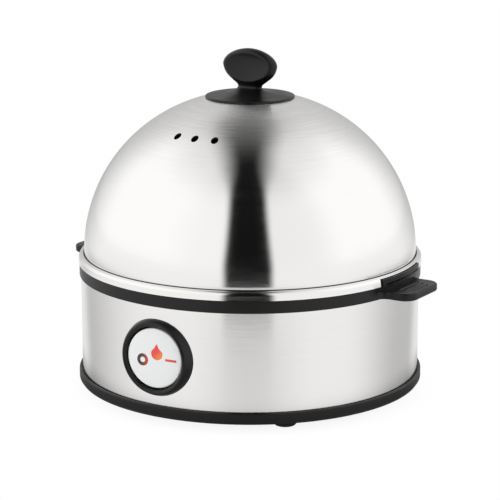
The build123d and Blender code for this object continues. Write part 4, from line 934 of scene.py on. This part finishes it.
    def sheet(self) -> list[Pair]:
        """Radius and height round the lid's sheet: hem, shoulder, crease, dome and back down inside."""
        outer = self.dome_side(0.0, self.outside_from)
        inner = self.dome_side(self.steel_mm, 0.0)
        edge_r, low = self.edge_mm
        hem_r = edge_r - self.hem_mm[0]
        crest = low + self.edge_h_mm
        side_r = edge_r - self.lean_mm
        turn = self.shoulder_mm
        crest_r = self.dome_r_mm + self.crease_mm[0]
        outline = [(hem_r, low), (edge_r, low)]
        for i in range(self.shoulder_rows + 1):
            angle = math.pi / 2 * i / self.shoulder_rows
            outline.append((crest_r + (side_r - crest_r) * math.cos(angle),
                            crest - turn + turn * math.sin(angle)))
        outline += [(self.dome_r_mm - self.steel_mm / 3, crest - self.crease_mm[1])] + outer
        outline += [(self.screw_hole_r_mm, side[-1][1]) for side in (outer, inner)] + inner[::-1]
        wall_in = side_r - self.steel_mm
        bends = ((self.dome_r_mm - self.steel_mm, crest), (wall_in, crest), (wall_in, crest - turn))
        outline += [(r - inwards, z - down) for (r, z), (inwards, down) in zip(bends, self.lining_mm)]
        return outline + [(wall_in, low + self.hem_mm[1]), (hem_r, low + self.hem_mm[1])]

    def cutters(self) -> Piece:
        """Shapes of the two notches for the tray's lugs and of the three steam holes."""
        tools = bmesh.new()
        edge_r, low = self.edge_mm
        inwards, outwards, down = self.notch_past_mm
        half = self.notch_half_deg
        for middle in (self.notch_turn_deg, 180.0 + self.notch_turn_deg):
            sweep = radians(*(middle - half + 2 * half * i / self.notch_steps
                              for i in range(self.notch_steps + 1)))
            plan = arc(edge_r + outwards, sweep) + arc(self.dome_r_mm - inwards, sweep[::-1])
            prism(tools, plan, low - down, low + self.notch_h_mm)
        for step in (-1, 0, 1):
            (centre,) = arc(self.steam_at_mm, radians(step * self.steam_step_deg - 90.0))
            plan = arc(self.steam_r_mm, full_turn(self.steam_around), *centre)
            prism(tools, plan, self.dome_low_mm + self.dome_h_mm / 3, self.dome_low_mm + self.dome_h_mm)
        return settled(tools, "dome_tools", self.dome_sharp_deg)

    def dome(self) -> None:
        """Turn the lid's steel skin with crease, rolled shoulder and hem, and punch it."""
        rows = [[Vector(mm(x, y, z)) for x, y in arc(r, full_turn(self.dome_around))] for r, z in self.sheet()]
        blank = settled(lathe(rows, closed=True), "dome_blank", self.dome_sharp_deg)
        self.model.stand_in(carved(blank, self.cutters(), "steel_dome", self.dome_sharp_deg), "lid_dome", "lid")


@dataclass
class Studio:
    """Pale floor, soft light and the camera of the photograph.

    A pair of degrees, millimetres or heights says where a change begins and where it ends. Degrees
    are turns seen from above, from the camera's side to the right. Millimetres on the floor count
    from the cooker's axis. Heights run from 0 at eye level to 1 overhead.
    """

    camera_mm: Triple = (544.9, -882.3, 315.4)
    turn_deg: float = 31.7
    pitch_deg: float = 13.51
    lens_mm: float = 158.9
    sensor_mm: float = 36.0
    # The floor as the camera sees it: paper in shadow, white further out.
    floor_m: float = 6.0
    paper: float = 0.93
    foot_white: float = 0.87
    foot_mm: Pair = (60.0, 98.0)
    # The floor as the steel mirrors it.
    drum_r_mm: float = 81.5
    floor_front: float = 0.74
    floor_side: float = 0.93
    floor_back: float = 0.55
    floor_rim: float = 1.5
    front_deg: Pair = (0.0, 46.0)
    right_deg: Pair = (64.0, 126.0)
    left_deg: Pair = (-67.0, -150.0)
    rim_deg: Pair = (143.0, 168.0)
    floor_far: float = 0.97
    far_mm: Pair = (330.0, 420.0)
    gap_at_deg: float = -1.3
    gap_deg: Pair = (19.0, 13.0)
    gap_mm: Pair = (312.0, 332.0)
    contact: float = 0.4
    contact_mm: Pair = (85.0, 125.0)
    # The dark slot between the white walls: half its width at the two heights, its middle, its edge.
    slot: Pair = (0.275, 0.165)
    slot_up: Pair = (0.0, 0.97)
    slot_at: float = -0.024
    slot_soft: Pair = (0.035, 0.12)
    slot_soft_up: Pair = (0.78, 0.99)
    slot_edge: Pair = (-1.0, 1.6)
    slot_level: Pair = (0.004, 0.14)
    slot_ahead: Pair = (0.20, -0.36)
    rear_ahead: Pair = (0.05, -0.15)
    rear_up: Pair = (0.93, 0.70)
    # The white walls: brightness in front, at the sides, behind and overhead.
    wall: float = 1.03
    sides: Pair = (0.985, 1.06)
    sides_deg: Pair = (30.0, 68.0)
    back_wall: float = 0.5
    back_deg: Pair = (112.0, 172.0)
    high_back: float = 0.60
    high_back_deg: Pair = (118.0, 162.0)
    high_back_up: Pair = (0.10, 0.45)
    dim: float = 0.93
    dim_at_deg: float = 32.0
    dim_deg: Pair = (40.0, 14.0)
    top: float = 0.77
    top_up: Pair = (0.66, 0.98)
    # Light that falls on everything but steel, and the soft boxes: name, place, width, power.
    ambient: float = 0.55
    aim_m: Triple = (0.0, 0.0, 0.08)
    boxes: tuple[tuple[str, Triple, float, float], ...] = (
        ("left_box", (-1.1, -1.2, 1.3), 1.2, 14.0),
        ("right_box", (1.5, -0.5, 1.1), 1.2, 12.0),
        ("top_box", (0.0, 0.2, 1.8), 1.4, 12.0))

    def camera(self) -> None:
        """Place the camera."""
        data = bpy.data.cameras.new("camera")
        data.lens = self.lens_mm
        data.sensor_width = self.sensor_mm
        camera = bpy.data.objects.new("camera", data)
        camera.location = mm(*self.camera_mm)
        camera.rotation_euler = (math.radians(90 - self.pitch_deg), 0.0, math.radians(self.turn_deg))
        bpy.context.scene.collection.objects.link(camera)
        bpy.context.scene.camera = camera

    def sideways(self, tree: Tree, way: Socket) -> tuple[Socket, Socket, Socket]:
        """Split a direction into parts towards the camera's side and across it.

        Args:
            tree: Node tree.
            way: Direction or place.

        Returns:
            Sockets with the part ahead, the part to the right and the angle between them.
        """
        a = math.radians(self.turn_deg)
        ahead, aside = (add(tree, "ShaderNodeVectorMath", {0: way, 1: (x, y, 0.0)},
                            operation="DOT_PRODUCT").outputs["Value"]
                        for x, y in ((math.sin(a), -math.cos(a)), (math.cos(a), math.sin(a))))
        return ahead, aside, maths(tree, "ARCTAN2", aside, ahead)

    def mirrored_floor(self, tree: Tree, place: Socket, far: Socket) -> Socket:
        """Brightness of the floor as the steel mirrors it.

        Args:
            tree: Node tree of the floor.
            place: Place on the floor.
            far: Its distance from the axis.

        Returns:
            Socket with the brightness.
        """
        # The drum's wall sends the view on by twice its own turn. Near the drum a place on the floor
        # is seen by a larger turn than its own, so the shades run upright in the steel.
        _, _, turn = self.sideways(tree, place)
        twice = product(tree, far, 2.0)
        stretch = maths(tree, "DIVIDE", twice, maths(tree, "SUBTRACT", twice, self.drum_r_mm * MM))
        seen_turn = product(tree, turn, stretch)
        off = maths(tree, "ABSOLUTE", seen_turn)
        fall = self.floor_back / self.floor_side
        near = product(tree, spread(tree, off, *radians(*self.front_deg), self.floor_front, self.floor_side),
                       spread(tree, off, *radians(*self.rim_deg), 1.0, self.floor_rim),
                       spread(tree, seen_turn, *radians(*self.right_deg), 1.0, fall),
                       spread(tree, seen_turn, *radians(*self.left_deg), 1.0, fall))
        distant = spread(tree, maths(tree, "ABSOLUTE", turn), *radians(*self.back_deg),
                         self.floor_far, self.floor_far * self.back_wall)
        level = blend(tree, spread(tree, far, *mm(*self.far_mm)), near, distant)
        aside = distance(tree, seen_turn, math.radians(self.gap_at_deg))
        gap = product(tree, spread(tree, aside, *radians(*self.gap_deg)), spread(tree, far, *mm(*self.gap_mm)))
        # The cooker shades the floor at its foot, and the base ring mirrors that.
        shadow = spread(tree, far, *mm(*self.contact_mm), self.contact, 1.0)
        return product(tree, level, rest_of(tree, gap), shadow)

    @staticmethod
    def light(tree: Tree, kind: str, strength: Socket | float) -> Socket:
        """Add a white shader that shines by itself."""
        return add(tree, kind, {"Color": WHITE, "Strength": strength}).outputs[0]

    @staticmethod
    def seen(tree: Tree) -> tuple[Socket, Socket]:
        """Sockets with 1 for what the camera sees, through clear pieces too, and 1 for what is mirrored."""
        path = add(tree, "ShaderNodeLightPath").outputs
        return (maths(tree, "MAXIMUM", path["Is Camera Ray"], path["Is Transmission Ray"]),
                path["Is Glossy Ray"])

    def floor(self) -> None:
        """Lay a pale floor that keeps the cooker's shadow and turns to plain white further out."""
        mesh = bpy.data.meshes.new("floor")
        h = self.floor_m / 2
        mesh.from_pydata([(-h, -h, 0), (h, -h, 0), (h, h, 0), (-h, h, 0)], [], [(0, 1, 2, 3)])
        floor = bpy.data.objects.new("floor", mesh)
        bpy.context.scene.collection.objects.link(floor)
        material = bpy.data.materials.new("floor_paper")
        material.use_nodes = True
        tree = material.node_tree
        tree.nodes.clear()
        place = here(tree)
        far = add(tree, "ShaderNodeVectorMath", {0: place}, operation="LENGTH").outputs["Value"]
        grey = (self.paper, self.paper, self.paper, 1.0)
        paper = add(tree, "ShaderNodeBsdfDiffuse", {"Color": grey}).outputs[0]
        white = self.light(tree, "ShaderNodeEmission", 1.0)
        steel = self.light(tree, "ShaderNodeEmission", self.mirrored_floor(tree, place, far))
        seen, mirrored = self.seen(tree)
        whiteness = product(tree, seen, spread(tree, far, *mm(*self.foot_mm), self.foot_white, 1.0))
        look = mixed(tree, mirrored, mixed(tree, whiteness, paper, white), steel)
        add(tree, "ShaderNodeOutputMaterial", {"Surface": look})
        mesh.materials.append(material)

    def mirrored_room(self, tree: Tree) -> Socket:
        """Brightness of the room as the steel mirrors it.

        Two broad white walls stand left and right with a dark slot between them, which runs from the
        camera's side over the top. The wall behind is duller.

        Args:
            tree: Node tree of the world.

        Returns:
            Socket with the brightness.
        """
        way = add(tree, "ShaderNodeTexCoord").outputs["Generated"]
        ahead, aside, turn = self.sideways(tree, way)
        up = parts(tree, way)[2]
        off = maths(tree, "ABSOLUTE", turn)
        # The slot is widest at eye level and narrows as it goes up, while its edges grow softer.
        half = spread(tree, up, *self.slot_up, *self.slot, Ramp.STRAIGHT)
        soft = spread(tree, up, *self.slot_soft_up, *self.slot_soft)
        past = maths(tree, "DIVIDE", maths(tree, "SUBTRACT", distance(tree, aside, self.slot_at), half), soft)
        rear = product(tree, spread(tree, ahead, *self.rear_ahead), spread(tree, up, *self.rear_up))
        shown = maths(tree, "MAXIMUM", spread(tree, past, *self.slot_edge), rear)
        low_back = spread(tree, off, *radians(*self.back_deg), self.wall, self.wall * self.back_wall)
        high_back = spread(tree, off, *radians(*self.high_back_deg), self.wall, self.high_back)
        beside = distance(tree, turn, math.radians(self.dim_at_deg))
        walls = product(tree, blend(tree, spread(tree, up, *self.high_back_up), low_back, high_back),
                        spread(tree, off, *radians(*self.sides_deg), *self.sides),
                        spread(tree, up, *self.top_up, 1.0, self.top),
                        spread(tree, beside, *radians(*self.dim_deg), 1.0, self.dim))
        return maths(tree, "MAXIMUM", product(tree, walls, shown),
                     spread(tree, ahead, *self.slot_ahead, *self.slot_level))

    def room(self) -> None:
        """White room with a dark slot between two broad soft boxes, seen in the steel."""
        world = bpy.data.worlds.new("studio")
        bpy.context.scene.world = world
        world.use_nodes = True
        tree = world.node_tree
        tree.nodes.clear()
        soft = self.light(tree, "ShaderNodeBackground", self.ambient)
        steel = self.light(tree, "ShaderNodeBackground", self.mirrored_room(tree))
        white = self.light(tree, "ShaderNodeBackground", 1.0)
        seen, mirrored = self.seen(tree)
        look = mixed(tree, seen, mixed(tree, mirrored, soft, steel), white)
        add(tree, "ShaderNodeOutputWorld", {"Surface": look})

    def lamp(self, name: str, at_m: Triple, size_m: float, watts: float) -> None:
        """Hang one soft box aimed at the cooker.

        Args:
            name: The lamp's name.
            at_m: Its place.
            size_m: Its width and height.
            watts: Its power.
        """
        data = bpy.data.lights.new(name, "AREA")
        data.shape = "SQUARE"
        data.size = size_m
        data.energy = watts
        lamp = bpy.data.objects.new(name, data)
        lamp.location = at_m
        lamp.rotation_euler = (Vector(self.aim_m) - Vector(at_m)).to_track_quat("-Z", "Y").to_euler()
        lamp.visible_glossy = False
        bpy.context.scene.collection.objects.link(lamp)

    def build(self) -> None:
        """Set up camera, floor, room and lamps."""
        self.camera()
        self.floor()
        self.room()
        for box in self.boxes:
            self.lamp(*box)
        bpy.context.scene.view_settings.view_transform = "Standard"


def main() -> None:
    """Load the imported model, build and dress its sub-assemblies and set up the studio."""
    logging.basicConfig(level=logging.INFO, format="%(name)s: %(message)s")
    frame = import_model()
    Studio().build()
    slots = {part["node"]: part["material_slot"] for part in frame["record"]["subparts"]}
    model = Model(frame["nodes"], slots)
    for kind in (Housing, Boiler, Wiring, Switch, EggTray, Lid):
        kind(model).build()


if __name__ == "__main__":
    main()
